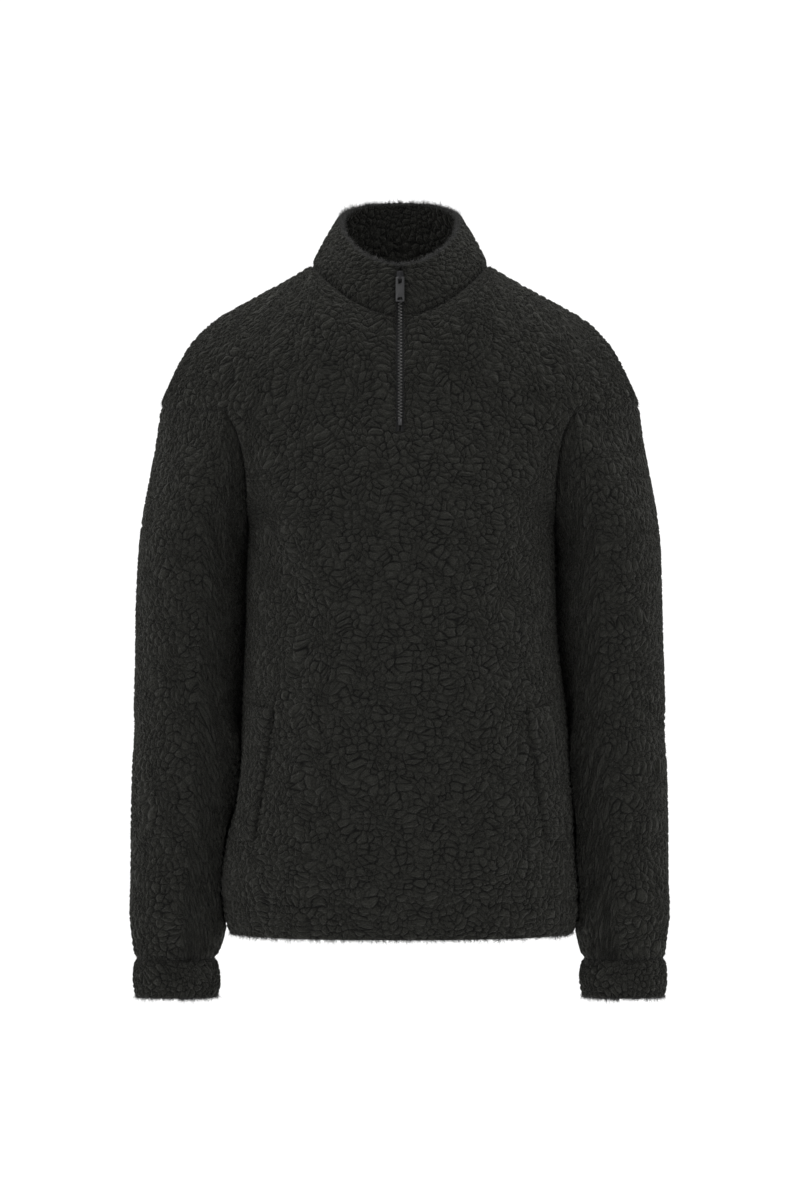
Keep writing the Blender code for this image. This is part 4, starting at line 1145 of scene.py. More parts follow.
    def rim_wall(
        self, coarse: list[list[int]], below: dict[int, int], first: int
    ) -> tuple[list[list[int]], list[int]]:
        """Faces between the outer and inner surfaces, rounded at the free rims.

        Args:
            coarse: the inner surface's faces, by the outer points over them.
            below: the inner point under each of those.
            first: number of the first point that lies half way through the wall.

        Returns:
            The faces, and the outer points that have a point half way through the wall.
        """
        middle: dict[int, int] = {}
        faces = []
        for start, end in self.edge_steps(coarse).items():
            chain = [start]
            while chain[-1] != end:
                chain.append(self.edges[chain[-1]])
            lower = [below[start], below[end]]
            if start not in self.rims or end not in self.rims:
                faces.append(chain[::-1] + lower)
                continue
            for one in (start, end):
                middle.setdefault(one, first + len(middle))
            faces.append(chain[::-1] + [middle[start], middle[end]])
            faces.append([middle[end], middle[start], *lower])
        return faces, list(middle)

    def build(self) -> bpy.types.Object:
        """Makes the closed mesh of the piece, dressed in sherpa."""
        self.surface()
        coarse_cells = self.cells(self.inner_step)
        coarse = self.numbered(coarse_cells)
        used = sorted({one for face in coarse for one in face})
        count = len(self.points)
        below = {one: count + place for place, one in enumerate(used)}
        inner_faces = [[below[one] for one in reversed(face)] for face in coarse]
        rim_faces, halfway = self.rim_wall(coarse, below, count + len(used))
        points = [self.outer, self.inner[used]]
        # The seam attribute is painted shade: seams and troughs outside, and the whole inner surface darker
        # by inner_shade.
        seam = [self.seam, np.full(len(used), self.inner_shade)]
        pattern = [self.pattern, self.pattern[used] + self.inner_shift]
        if halfway:
            points.append(np.array([self.rim_point(one) for one in halfway]))
            seam.append(np.zeros(len(halfway)))
            pattern.append(self.pattern[halfway] + self.inner_shift / 2)
        places = self.flat.reshape(-1, 2)
        corners = [
            places[list(itertools.chain.from_iterable(self.cell_faces))],
            places[[one for face in coarse_cells for one in reversed(face)]] + self.inside_shift,
            np.concatenate(pattern)[list(itertools.chain.from_iterable(rim_faces))],
        ]
        faces = self.faces + inner_faces + rim_faces
        piece = mesh_piece(self.name, np.concatenate(points), faces, SHERPA.material())
        piece.data.attributes.new("seam", "FLOAT", "POINT").data.foreach_set("value", np.concatenate(seam))
        layer = piece.data.uv_layers.new(name="curls")
        layer.data.foreach_set("uv", np.concatenate(corners).ravel())
        return piece

    def rim_point(self, one: int) -> np.ndarray:
        """Point half way through the wall at a free rim, pushed out to round it."""
        around = [self.points[other] for face in self.rim_faces[one] for other in face]
        away = self.points[one] - np.mean(around, axis=0)
        away = away - self.normals[one] * (away @ self.normals[one])
        return (self.outer[one] + self.inner[one]) / 2 + unit(away) * self.rim_round

def join_edges(cloths: Sequence[Cloth], reach: float = 0.05) -> None:
    """Gives the pieces one common way inwards along each seam, so that their walls meet there.

    Args:
        cloths: the pieces that are sewn together.
        reach: how near, in millimetres, two edges' points lie if they are sewn.
    """
    owners = [(cloth, one) for cloth in cloths for one in cloth.edges]
    tree = tree_of([cloth.points[one] for cloth, one in owners])
    ways = []
    for cloth, one in owners:
        near = [owners[place] for _, place, _ in tree.find_range(cloth.points[one], reach)]
        ways.append(unit(np.sum([other.normals[place] for other, place in near], axis=0)))
    for (cloth, one), way in zip(owners, ways):
        cloth.joined[one] = way / max(float(way @ cloth.normals[one]), 0.5)
    for cloth in cloths:
        for one, way in cloth.joined.items():
            cloth.normals[one] = way


def distances(points: np.ndarray, line: np.ndarray) -> np.ndarray:
    """Distance of each point from the nearest point of a line, or far where there is none."""
    if not len(line):
        return np.full(len(points), np.inf)
    tree = tree_of(line)
    return np.array([tree.find(point)[2] for point in points])


def mesh_piece(name: str, points: np.ndarray, faces: list, material: bpy.types.Material) -> bpy.types.Object:
    """Object of points in millimetres and faces, shaded smooth, in the scene.

    Args:
        name: the piece's name.
        points: its points.
        faces: its faces, as places in the points.
        material: its material.

    Returns:
        The new object.
    """
    data = bpy.data.meshes.new(name)
    data.from_pydata((np.asarray(points) * MM).tolist(), [], faces)
    data.materials.append(material)
    data.shade_smooth()
    data.update()
    return linked(name, data)


@dataclass
class Fuzz:
    """Loose fibres that stand out of a piece's pile, thicker along its free rims."""

    cloth: Cloth
    per_face: float = 0.2
    per_rim_point: int = 26
    length: tuple[float, float] = (1.2, 3.4)
    rim_length: tuple[float, float] = (1.8, 5.2)
    width: float = 0.2
    rim_width: float = 0.3
    tuft: tuple[float, float] = (0.3, 1.5)
    stray: float = 0.35
    scatter: float = 0.6
    outward: float = 1.2
    lean: float = 0.45
    bend: float = 0.25
    sunk: float = 0.4
    seed: int = 5

    def rim_fibres(self, source: np.random.Generator, rim: np.ndarray) -> tuple[np.ndarray, ...]:
        """Roots, ways and lengths of the fibres of one free rim, in tufts."""
        cloth = self.cloth
        ones = np.repeat(rim, self.per_rim_point)
        share = source.random(len(ones))[:, None]
        middle = np.array([cloth.rim_point(int(one)) for one in rim])
        middle = np.repeat(middle, self.per_rim_point, axis=0)
        inside, outside = cloth.inner[ones], cloth.outer[ones]
        upper = outside + (middle - outside) * share * 2
        lower = middle + (inside - middle) * (share * 2 - 1)
        root = np.where(share < 0.5, upper, lower)
        out = unit(middle - (outside + inside) / 2)
        tuft = np.repeat(source.uniform(*self.tuft, len(rim)), self.per_rim_point)
        stray = np.repeat(source.normal(size=(len(rim), 3)) * self.stray, self.per_rim_point, axis=0)
        root = root + source.normal(size=root.shape) * self.scatter
        way = unit(out * self.outward + cloth.normals[ones] * (1 - 2 * share) + stray)
        return root, way, source.uniform(*self.rim_length, len(ones)) * tuft

    def build(self) -> bpy.types.Object:
        """Makes the fibres as one mesh of slim closed spikes."""
        source = np.random.default_rng(self.seed)
        cloth = self.cloth
        quads = np.array([face for face in cloth.faces if len(face) == 4])
        chosen = quads[source.random(len(quads)) < self.per_face]
        lengths = [source.uniform(*self.length, len(chosen))]
        spread = source.dirichlet(np.ones(4), len(chosen))
        roots = [np.einsum("ij,ijk->ik", spread, cloth.outer[chosen])]
        ways = [np.einsum("ij,ijk->ik", spread, cloth.normals[chosen])]
        for row in cloth.rim_rows:
            fibres = self.rim_fibres(source, cloth.index[row][cloth.index[row] >= 0])
            for known, more in zip((roots, ways, lengths), fibres):
                known.append(more)
        root, way, length = (np.concatenate(parts) for parts in (roots, ways, lengths))
        length = length[:, None]
        width = np.where(np.arange(len(root)) < len(chosen), self.width, self.rim_width)[:, None]
        way = unit(way + source.normal(size=way.shape) * self.lean)
        side = unit(np.cross(way, source.normal(size=way.shape)))
        other = np.cross(way, side)
        # The foot's three corners lie a third of a turn apart.
        corners = [side, -0.5 * side + 0.87 * other, -0.5 * side - 0.87 * other]
        base = [root - way * self.sunk + corner * width / 2 for corner in corners]
        tip = root + way * length + unit(source.normal(size=way.shape)) * length * self.bend
        points = np.stack([*base, tip], axis=1).reshape(-1, 3)
        start = np.arange(len(root))[:, None] * 4
        sides = ((0, 2, 1), (0, 1, 3), (1, 2, 3), (2, 0, 3))
        faces = np.concatenate([start + np.array(face) for face in sides])
        return mesh_piece(f"{cloth.name}_fuzz", points, faces.tolist(), FIBRE.material())


@dataclass(frozen=True)
class Cut:
    """Flat size of a piece before it is sewn, in metres, and its area."""

    width: float
    length: float
    area: float


CUTS = {
    "front": Cut(0.74, 0.727, 0.315),
    "back": Cut(0.677, 0.727, 0.306),
    "collar": Cut(0.548, 0.061, 0.0256),
    "sleeve": Cut(0.525, 0.562, 0.209),
    "cuff": Cut(0.268, 0.0375, 0.0098),
    "welt": Cut(0.035, 0.137, 0.0047),
}


def dress_cloth(cloth: Cloth, node: str, fuzz: Fuzz) -> None:
    """Makes a cloth piece with its loose fibres, in place of a node of the frame.

    Args:
        cloth: the piece.
        node: the node that it replaces.
        fuzz: its fibres.
    """
    piece = cloth.build()
    fibres = fuzz.build()
    for one in (piece, fibres):
        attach(one, GARMENT)
    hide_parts(node)
    log.info("%s: %d faces, %d fibre faces", piece.name, len(piece.data.polygons), len(fibres.data.polygons))


def dress_metal(piece: bpy.types.Object, body: str, node: str) -> None:
    """Has a metal piece ride on its body, in place of a node of the frame."""
    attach(piece, body)
    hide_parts(node)
    log.info("%s: %d faces", piece.name, len(piece.data.polygons))


@dataclass
class Garment:
    """All cloth pieces of the sweatshirt."""

    body: BodyShape = BodyShape()
    sleeve: SleeveShape = SleeveShape()
    collar: CollarShape = CollarShape()
    body_wall: float = 4.0
    hem_wall: float = 7.0
    collar_wall: float = 6.0
    cuff_wall: float = 6.0
    hem_seam: float = -632.0
    hem_trough_width: float = 2.6
    hem_trough_depth: float = 1.0
    front_folds: tuple[Fold, ...] = (
        Fold(-140, -235, -104, -345, 20, -5.0),
        Fold(-128, -215, -92, -300, 20, 4.0),
        Fold(140, -228, 106, -330, 20, -4.5),
        Fold(127, -212, 96, -300, 20, 3.5),
        Fold(-55, -392, -86, -425, 18, 3.0),
        Fold(60, -396, 88, -428, 18, 3.0),
        Fold(-98, -590, -50, -606, 20, 3.5),
        Fold(50, -604, 100, -588, 20, 3.5),
        Fold(-50, -560, 40, -580, 26, -3.0),
    )
    back_folds: tuple[Fold, ...] = (
        Fold(-138, -230, -96, -350, 22, -5.0),
        Fold(136, -225, 98, -335, 22, -5.0),
        Fold(-60, -420, 10, -440, 28, -4.0),
        Fold(-20, -500, 75, -480, 28, -4.0),
        Fold(-110, -560, -20, -590, 26, 4.0),
        Fold(30, -600, 120, -570, 26, 4.0),
    )
    sleeve_folds: tuple[Fold, ...] = (
        Fold(42, -185, 34, -440, 26, -11.0),
        Fold(95, -205, 92, -330, 24, 3.0),
        Fold(60, -395, 120, -425, 20, -4.0),
        Fold(100, -455, 160, -470, 20, -3.5),
        Fold(215, -380, 300, -400, 24, -4.0),
        Fold(200, -520, 290, -545, 24, -4.0),
        Fold(50, -560, 130, -585, 20, -3.5),
        Fold(60, -640, 150, -648, 16, 3.5),
        Fold(200, -635, 320, -650, 16, 3.5),
    )

    def body_cloth(self, panel: Panel, grid: np.ndarray) -> Cloth:
        """Cloth of the front or back panel, with its turned-up hem."""
        thickness = np.where(np.nan_to_num(grid[..., 2]) <= self.hem_seam, self.hem_wall, self.body_wall)
        front = panel is Panel.FRONT
        first = self.body.body_columns + self.body.drop_columns
        last = first + self.body.slit_columns

        def skip(row: int, column: int) -> bool:
            """Whether a cell lies in the zip's slit."""
            return front and row >= self.body.slit_row and first <= column <= last

        hem_row = int(np.argmin(np.abs(self.body.row_levels(panel) - self.hem_seam)))
        hem_line = grid[hem_row][~np.isnan(grid[hem_row, :, 0])]
        return Cloth(
            name="sherpa_front" if front else "sherpa_back",
            grid=grid,
            thickness=thickness,
            flip=not front,
            skip=skip,
            folds=self.front_folds if front else self.back_folds,
            curls=Curls(seed=11 if front else 12),
            middle_column=grid.shape[1] // 2,
            rim_rows=(0,),
            troughs=[(hem_line, self.hem_trough_width, self.hem_trough_depth)],
        )

    def sleeve_cloth(self, grids: dict[Panel, np.ndarray], side: Side) -> Cloth:
        """Cloth of one sleeve."""
        grid = self.sleeve.grid(grids, side)
        shares = self.sleeve.shares(self.sleeve.armhole(grids, side))
        return Cloth(
            name=f"sherpa_sleeve_{side.label}",
            grid=grid,
            thickness=self.body_wall,
            closed=True,
            flip=side is Side.LEFT,
            folds=self.sleeve_folds,
            fold_across=np.append(shares, 1.0) * FULL_TURN,
            middle_column=len(shares) // 4,
            curls=Curls(across=6.9, up=7.4, seed=23 + side.value),
        )

    def cuff_cloth(self, grids: dict[Panel, np.ndarray], side: Side) -> Cloth:
        """Cloth of one cuff band."""
        return Cloth(
            name=f"sherpa_cuff_{side.label}",
            grid=self.sleeve.cuff_grid(grids, side),
            thickness=self.cuff_wall,
            closed=True,
            flip=side is Side.LEFT,
            inner_step=2,
            rim_rows=(-1,),
            curls=Curls(across=5.8, up=6.7, seed=31 + side.value),
        )

    def collar_cloth(self) -> Cloth:
        """Cloth of the stand collar, with pile on both sides."""
        return Cloth(
            name="sherpa_collar",
            grid=self.collar.grid(),
            thickness=self.collar_wall,
            flip=True,
            inner_step=1,
            pile_inside=True,
            rim_rows=(-1,),
            curls=Curls(across=6.6, up=8.2, seed=41),
            middle_column=self.body.neck_columns * 2,
        )

    def build(self) -> None:
        """Makes every cloth piece with its loose fibres."""
        grids = {panel: self.body.grid(panel) for panel in Panel}
        jobs = [
            (self.body_cloth(Panel.FRONT, grids[Panel.FRONT]), "front_body", CUTS["front"]),
            (self.body_cloth(Panel.BACK, grids[Panel.BACK]), "back_body", CUTS["back"]),
            (self.collar_cloth(), "collar", CUTS["collar"]),
        ]
        for side in Side:
            jobs.append((self.sleeve_cloth(grids, side), f"sleeve_{side.label}", CUTS["sleeve"]))
            jobs.append((self.cuff_cloth(grids, side), f"cuff_{side.label}", CUTS["cuff"]))
        join_edges([cloth for cloth, _, _ in jobs])
        for cloth, node, flat in jobs:
            dress_cloth(cloth, node, Fuzz(cloth))


@dataclass
class PocketWelt:
    """Slanted pocket welt, sewn along its inner edge and lifted at its free one."""

    side: Side
    body: BodyShape = BodyShape()
    sections: tuple[WeltSection, ...] = (
        WeltSection(-441, 123, 145, -438),
        WeltSection(-505, 132, 153, -504),
        WeltSection(-569, 142, 160, -572),
    )
    thick: float = 4.5
    clear: float = 0.4
    lift: float = 1.5
    end_fade: float = 8.0
    rows: int = 76
    columns: int = 16
    fibre_share: float = 0.5

    def grid(self) -> np.ndarray:
        """Outer points of the welt."""
        knots = np.arange(len(self.sections))
        table = np.array([list(row) for row in self.sections], float)
        lines = smooth_curve(knots, table, np.linspace(0, knots[-1], self.rows + 1))
        points = np.zeros((self.rows + 1, self.columns + 1, 3))
        shares = np.linspace(0, 1, self.columns + 1)
        for row, (height, sewn, free, free_height) in enumerate(lines):
            for column, share in enumerate(shares):
                x = sewn + (free - sewn) * share
                z = height + (free_height - height) * share
                point, normal = self.body.front_point(self.side, x, z)
                ends = min(row, self.rows - row) / self.rows
                raised = self.clear + self.lift * share**2 * ease(np.array(ends * self.end_fade))
                points[row, column] = point + normal * (raised + self.thick)
        return points

    def build(self) -> None:
        """Makes the welt's cloth and its fibres."""
        cloth = Cloth(
            name=f"sherpa_welt_{self.side.label}",
            grid=self.grid(),
            thickness=self.thick,
            flip=self.side is Side.LEFT,
            pile=1.6,
            seam_depth=2.9,
            seam_reach=6.0,
            seam_round=True,
            seam_shade=0.7,
            curls=Curls(seed=51 + self.side.value),
        )
        fuzz = Fuzz(cloth, per_face=self.fibre_share)
        dress_cloth(cloth, f"pocket_welt_{self.side.label}", fuzz)


@dataclass
class ZipLine:
    """Line that the closed chain lies on, read from the frame, with its way out."""

    def __post_init__(self) -> None:
        """Reads the chain's front and back lines from its CAD node."""
        points = np.array([vertex.co for vertex in frame["nodes"]["zip_chain"].data.vertices]) / MM
        edge = np.unique(np.round(points[points[:, 0] > 0], 3), axis=0)
        pairs = edge[np.argsort(edge[:, 2])].reshape(-1, 2, 3)
        first_is_front = (pairs[:, 0, 1] < pairs[:, 1, 1])[:, None]
        front = np.where(first_is_front, pairs[:, 0], pairs[:, 1])
        back = np.where(first_is_front, pairs[:, 1], pairs[:, 0])
        self.middle = (front + back) / 2
        self.way = front - back

    def at(self, height: float) -> tuple[np.ndarray, np.ndarray, np.ndarray]:
        """Point half way through the chain at a height, and the ways out and up there."""
        point, out = (
            np.array([0.0] + [np.interp(height, self.middle[:, 2], line[:, axis]) for axis in (1, 2)])
            for line in (self.middle, self.way)
        )
        out = unit(out)
        up = np.cross(out, np.array([1.0, 0.0, 0.0]))
        return point, out, up if up[2] > 0 else -up


@dataclass
class ZipTeeth:
    """Interlocked metal teeth of the closed chain, each one clenched on its tape."""

    line: ZipLine
    low: float = -159.6
    high: float = -17.0
    pitch: float = 3.13
    rings: tuple[ToothRing, ...] = (
        ToothRing(-0.45, 0.36, 0.756),
        ToothRing(0.05, 0.496, 0.966),
        ToothRing(0.7, 0.529, 0.84),
        ToothRing(1.1, 0.6325, 1.05),
        ToothRing(2.0, 0.6325, 1.05),
        ToothRing(2.25, 0.483, 0.84),
    )
    chamfer: float = 0.3
    sharp: float = 40.0

    def tooth(self) -> bmesh.types.BMesh:
        """One tooth that points to -x, its middle at the origin, deep along y and tall along z."""
        mesh = bmesh.new()
        loops = []
        inset = 1 - self.chamfer
        for x, half_z, half_y in self.rings:
            loop = []
            for sy, sz in ((1, 1), (-1, 1), (-1, -1), (1, -1)):
                first = (sy * half_y, sz * half_z * inset)
                second = (sy * half_y * inset, sz * half_z)
                order = (first, second) if sy * sz > 0 else (second, first)
                loop += [mesh.verts.new((x, y, z)) for y, z in order]
            loops.append(loop)
        count = len(loops[0])
        for before, after in zip(loops, loops[1:]):
            for place in range(count):
                following = (place + 1) % count
                mesh.faces.new([before[place], before[following], after[following], after[place]])
        mesh.faces.new(loops[0][::-1])
        mesh.faces.new(loops[-1])
        bmesh.ops.recalc_face_normals(mesh, faces=mesh.faces)
        return mesh

    def build(self) -> None:
        """Makes the row of teeth as one piece."""
        tooth = self.tooth()
        shape = np.array([vertex.co for vertex in tooth.verts])
        tooth.verts.index_update()
        faces = [[vertex.index for vertex in face.verts] for face in tooth.faces]
        tooth.free()
        points = []
        polygons = []
        heights = np.arange(self.low, self.high, self.pitch / 2)
        for number, height in enumerate(heights):
            side = 1 if number % 2 else -1
            middle, out, up = self.line.at(height)
            axes = np.array([[side, 0, 0], -out, up])
            start = len(points) * len(shape)
            points.append(middle + shape @ axes)
            polygons += [[start + one for one in face[::side]] for face in faces]
        piece = mesh_piece("zip_teeth", np.concatenate(points), polygons, BRIGHT_METAL.material())
        piece.data.set_sharp_from_angle(angle=math.radians(self.sharp))
        dress_metal(piece, GARMENT, "zip_chain")


@dataclass
class ZipMetal:
    """The slider, its pull and the bottom stop, on the pull's axis and the collar's slope."""

    line: ZipLine
    half_width: float = 3.5
    top: float = 7.8
    bottom: float = -3.0
    shoulder: float = 4.6
    top_share: float = 0.82
    end_share: float = 0.86
    plate: float = 1.3
    plate_thick: float = 2.1
    back_plate: float = 7.8
    back_thick: float = 1.0
    blocks: tuple[Block, ...] = (
        Block("slider_post", -0.9, 0.9, 2.9, 8.15, 5.0, 7.3, 0.1, 0),
        Block("slider_flange", -3.4, -2.85, 2.8, 4.35, -2.5, 7.0, 0.12, 0),
        Block("slider_flange", 2.85, 3.4, 2.8, 4.35, -2.5, 7.0, 0.12, 0),
        Block("bail_bridge", -0.95, 0.95, -2.45, -1.45, -2.42, 6.32, 0.3, 1),
        Block("bail_low", -0.95, 0.95, -2.05, 1.7, -2.42, -1.42, 0.2, 1),
        Block("bail_high", -0.95, 0.95, -2.05, 1.7, 5.32, 6.32, 0.2, 1),
    )
    pull_half: float = 4.3
    pull_top: float = 1.12
    pull_end: float = -24.2
    pull_thick: float = 1.4
    slot: tuple[float, float, float] = (1.65, -0.8, -6.0)
    hole: tuple[float, float, float, float] = (2.0, 2.7, -19.6, -22.6)
    stop_tall: float = 6.9
    stop_deep: float = 2.6
    stop_groove: float = 1.3
    stop_proud: float = 0.1
    sharp: float = 35.0
    corner_steps: int = 5

    def __post_init__(self) -> None:
        """Reads the axis and the slope from the frame."""
        origin = frame["joints"][0]["pos_m"]
        _, out, _ = self.line.at(origin[2] / MM)
        slope = Matrix.Rotation(math.atan2(-out[2], -out[1]), 4, "X")
        self.matrix = Matrix.Translation(origin) @ slope

    def place(self, piece: bpy.types.Object, body: str, node: str, *finishes: Metal) -> None:
        """Puts a piece made about the pull's axis in its place, dressed and riding on its body."""
        piece.data.transform(self.matrix)
        piece.data.materials.clear()
        for finish in finishes:
            piece.data.materials.append(finish.material())
        piece.data.shade_smooth()
        piece.data.set_sharp_from_angle(angle=math.radians(self.sharp))
        dress_metal(piece, body, node)

    @staticmethod
    def flat_shape(
        name: str, loops: Sequence[Outline], thick: float, bevel: float, front: float
    ) -> bpy.types.Object:
        """Plate with eased edges, cut to an outline with its holes.

        Args:
            name: the piece's name.
            loops: the outline and each hole, as points across and up, in millimetres.
            thick: the plate's thickness.
            bevel: how far its edges are eased.
            front: place of the plate's front face.

        Returns:
            The plate's object, about the pull's axis.
        """
        curve = bpy.data.curves.new(name, "CURVE")
        curve.dimensions = "2D"
        curve.fill_mode = "BOTH"
        curve.extrude = (thick / 2 - bevel) * MM
        curve.bevel_depth = bevel * MM
        curve.bevel_resolution = 2
        curve.offset = -bevel * MM
        for loop in loops:
            spline = curve.splines.new("POLY")
            spline.points.add(len(loop) - 1)
            for point, (x, z) in zip(spline.points, loop):
                point.co = (x * MM, z * MM, 0, 1)
            spline.use_cyclic_u = True
        holder = linked(name, curve)
        bpy.context.view_layer.update()
        data = bpy.data.meshes.new_from_object(holder.evaluated_get(bpy.context.evaluated_depsgraph_get()))
        bpy.data.objects.remove(holder)
        upright = Matrix.Rotation(math.pi / 2, 4, "X")
        data.transform(Matrix.Translation((0, (front + thick / 2) * MM, 0)) @ upright)
        solid = bmesh.new()
        solid.from_mesh(data)
        bmesh.ops.remove_doubles(solid, verts=solid.verts, dist=1e-6)
        bmesh.ops.recalc_face_normals(solid, faces=solid.faces)
        return finished(name, solid)

    def rounded(self, corners: Outline, radius: float) -> Outline:
        """Outline through corners, each one rounded."""
        result = []
        for place, corner in enumerate(corners):
            here = np.array(corner, float)
            before = unit(np.array(corners[place - 1], float) - here)
            after = unit(np.array(corners[(place + 1) % len(corners)], float) - here)
            start, end = here + before * radius, here + after * radius
            for share in np.linspace(0, 1, self.corner_steps):
                point = (1 - share) ** 2 * start + 2 * (1 - share) * share * here + share**2 * end
                result.append((float(point[0]), float(point[1])))
        return result

    def tapered(self, top_half: float, low_half: float, top: float, end: float, radius: float) -> Outline:
        """Rounded outline with four corners, as wide at its top and its end as asked."""
        return self.rounded([(-top_half, top), (top_half, top), (low_half, end), (-low_half, end)], radius)

    def pull(self) -> None:
        """Flat pull tab with its slot and its tapered hole."""
        slot_half, slot_top, slot_end = self.slot
        loops = [
            self.tapered(self.pull_half, self.pull_half, self.pull_top, self.pull_end, radius=1.0),
            self.tapered(slot_half, slot_half, slot_top, slot_end, radius=0.5),
            self.tapered(*self.hole, radius=0.5),
        ]
        front = -self.pull_thick / 2
        piece = self.flat_shape("pull_tab", loops, self.pull_thick, bevel=0.28, front=front)
        self.place(piece, PULL, "zip_pull", GUNMETAL)

    def slider(self) -> None:
        """Slider: a waisted plate with flanges, the bail over it and the plate behind."""
        half, top, bottom = self.half_width, self.top, self.bottom
        narrow_top, narrow_end = half * self.top_share, half * self.end_share
        right = [(narrow_top, top), (half, self.shoulder), (narrow_end, bottom)]
        left = [(-narrow_end, bottom), (-half, self.shoulder)]
        outline = [self.rounded([(-narrow_top, top), *right, *left], radius=1.0)]
        pieces = [
            self.flat_shape("slider_front", outline, self.plate_thick, bevel=0.4, front=self.plate),
            self.flat_shape("slider_back", outline, self.back_thick, bevel=0.3, front=self.back_plate),
        ]
        pieces += [self.block(block) for block in self.blocks]
        self.place(joined("slider", pieces), GARMENT, "zip_slider", DARK_METAL, GUNMETAL)

    @staticmethod
    def block(block: Block) -> bpy.types.Object:
        """Eased block, in one of its piece's finishes."""
        solid = bmesh.new()
        bmesh.ops.create_cube(solid, size=1.0)
        low = np.array([block.left, block.front, block.low])
        high = np.array([block.right, block.back, block.high])
        for vertex in solid.verts:
            vertex.co = ((np.array(vertex.co) + 0.5) * (high - low) + low) * MM
        edges = solid.edges[:]
        bmesh.ops.bevel(solid, geom=edges, offset=block.bevel * MM, segments=3, profile=0.5, affect="EDGES")
        for face in solid.faces:
            face.material_index = block.finish
        return finished(block.name, solid)

    def stop(self) -> None:
        """Bottom stop: a clip folded round both tapes, with a groove down its middle."""
        low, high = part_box("zip_bottom_stop")
        width = (high[0] - low[0]) / MM
        point, out, up = self.line.at((low[2] + high[2]) / 2 / MM)
        half_row = ((0.04, 0.16), (0.12, 0.0), (0.42, 0.0), (0.5, 0.25))
        columns = [(-share, sink) for share, sink in half_row[::-1]] + list(half_row)
        rows = ((-0.5, 0.2), (-0.44, 0.0), (0.44, 0.0), (0.5, 0.2))
        half = self.stop_deep / 2
        points = []
        for front in (True, False):
            for (share_z, sink_z), (share_x, sink_x) in itertools.product(rows, columns):
                depth = half - (sink_x + sink_z) * self.stop_groove if front else -half
                place = point + np.array([share_x * width, 0, 0]) + up * share_z * self.stop_tall
                points.append(place + out * (depth + self.stop_proud))
        wide, tall = len(columns), len(rows)
        layer = wide * tall
        faces = []
        for first, turn in ((0, 1), (layer, -1)):
            for row, column in itertools.product(range(tall - 1), range(wide - 1)):
                one = first + row * wide + column
                faces.append([one, one + 1, one + wide + 1, one + wide][::turn])
        ring = list(range(wide)) + [row * wide + wide - 1 for row in range(1, tall)]
        ring += [(tall - 1) * wide + column for column in range(wide - 2, -1, -1)]
        ring += [row * wide for row in range(tall - 2, 0, -1)]
        faces += [[other, one, one + layer, other + layer] for one, other in zip(ring, ring[1:] + ring[:1])]
        piece = mesh_piece("stop_clip", np.array(points), faces, GUNMETAL.material())
        piece.data.set_sharp_from_angle(angle=math.radians(self.sharp))
        dress_metal(piece, GARMENT, "zip_bottom_stop")


def joined(name: str, pieces: list[bpy.types.Object]) -> bpy.types.Object:
    """One object from several, each part kept as it is."""
    mesh = bmesh.new()
    for piece in pieces:
        mesh.from_mesh(piece.data)
        bpy.data.objects.remove(piece)
    return finished(name, mesh)


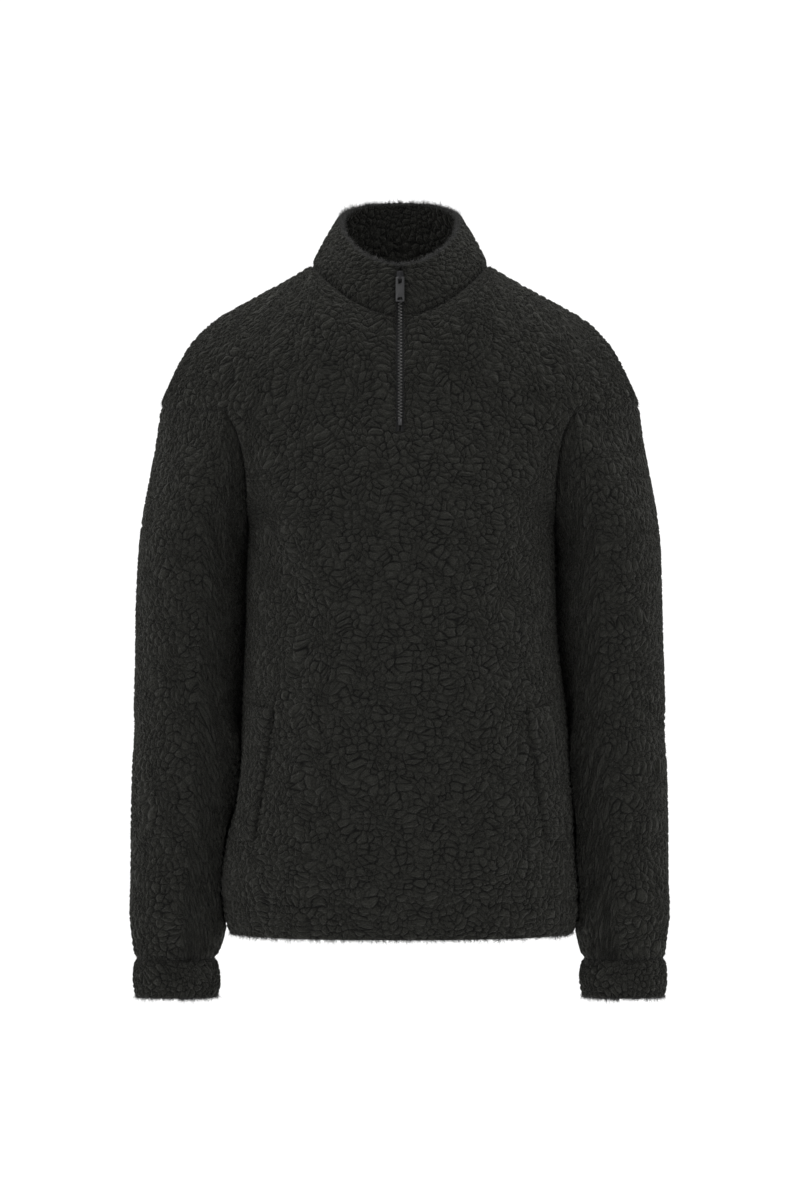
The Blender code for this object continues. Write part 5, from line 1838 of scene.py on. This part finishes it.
@dataclass(frozen=True)
class Studio:
    """Plain pale floor and backdrop, soft light, and the camera at the photograph's angle."""

    distance: float = 4.5
    lens: float = 135.0
    height: float = -0.334
    floor: float = -1.25
    wall: float = 60.0
    bend: float = 20.0
    half_width: float = 60.0
    bend_steps: int = 12
    sky: float = 1.0
    lamps: tuple[Lamp, ...] = (
        Lamp("key_light", (-1.6, -2.6, 2.0), 1.8, 20.0),
        Lamp("fill_light", (2.2, -2.8, 0.6), 2.2, 9.0),
        Lamp("top_light", (0.0, 0.3, 2.4), 1.6, 34.0),
    )

    def sweep(self) -> None:
        """Floor that curves up into a wall behind."""
        curve = [(-self.wall, self.floor)]
        for angle in np.linspace(0, math.pi / 2, self.bend_steps + 1):
            back = self.wall - self.bend + self.bend * math.sin(angle)
            curve.append((back, self.floor + self.bend * (1 - math.cos(angle))))
        curve.append((self.wall, self.wall))
        points = [(x, y, z) for y, z in curve for x in (-self.half_width, self.half_width)]
        faces = [[2 * k, 2 * k + 1, 2 * k + 3, 2 * k + 2] for k in range(len(curve) - 1)]
        piece = mesh_piece("backdrop", np.array(points) / MM, faces, Paper().material())

    def light(self, lamp: Lamp) -> None:
        """Square soft light that faces the garment's middle."""
        data = bpy.data.lights.new(lamp.name, "AREA")
        data.size = lamp.size
        data.energy = lamp.power
        light = linked(lamp.name, data)
        light.location = lamp.place
        aim = Vector((0, 0, self.height)) - Vector(lamp.place)
        light.rotation_euler = aim.to_track_quat("-Z", "Y").to_euler()

    def build(self) -> None:
        """Makes the floor, the lights, the sky and the camera."""
        self.sweep()
        world = bpy.data.worlds.new("studio")
        world.use_nodes = True
        background = world.node_tree.nodes["Background"]
        background.inputs["Color"].default_value = (1.0, 1.0, 1.0, 1.0)
        background.inputs["Strength"].default_value = self.sky
        bpy.context.scene.world = world
        for lamp in self.lamps:
            self.light(lamp)
        data = bpy.data.cameras.new("camera")
        data.lens = self.lens
        camera = linked("camera", data)
        camera.location = (0.0, -self.distance, self.height)
        camera.rotation_euler = (math.pi / 2, 0, 0)
        bpy.context.scene.camera = camera
        bpy.context.scene.view_settings.view_transform = "Standard"


def dress_tapes() -> None:
    """Gives the zip's tapes, which keep their CAD shape, their weave."""
    for side in Side:
        node = frame["nodes"][f"zip_tape_{side.label}"]
        for slot in node.material_slots:
            slot.material = TAPE.material()


def main() -> None:
    """Builds the sweatshirt piece by piece, then the studio round it."""
    logging.basicConfig(level=logging.INFO, format="%(name)s: %(message)s")
    Garment().build()
    for side in Side:
        PocketWelt(side).build()
    line = ZipLine()
    ZipTeeth(line).build()
    metal = ZipMetal(line)
    metal.slider()
    metal.pull()
    metal.stop()
    dress_tapes()
    Studio().build()


if __name__ == "__main__":
    main()
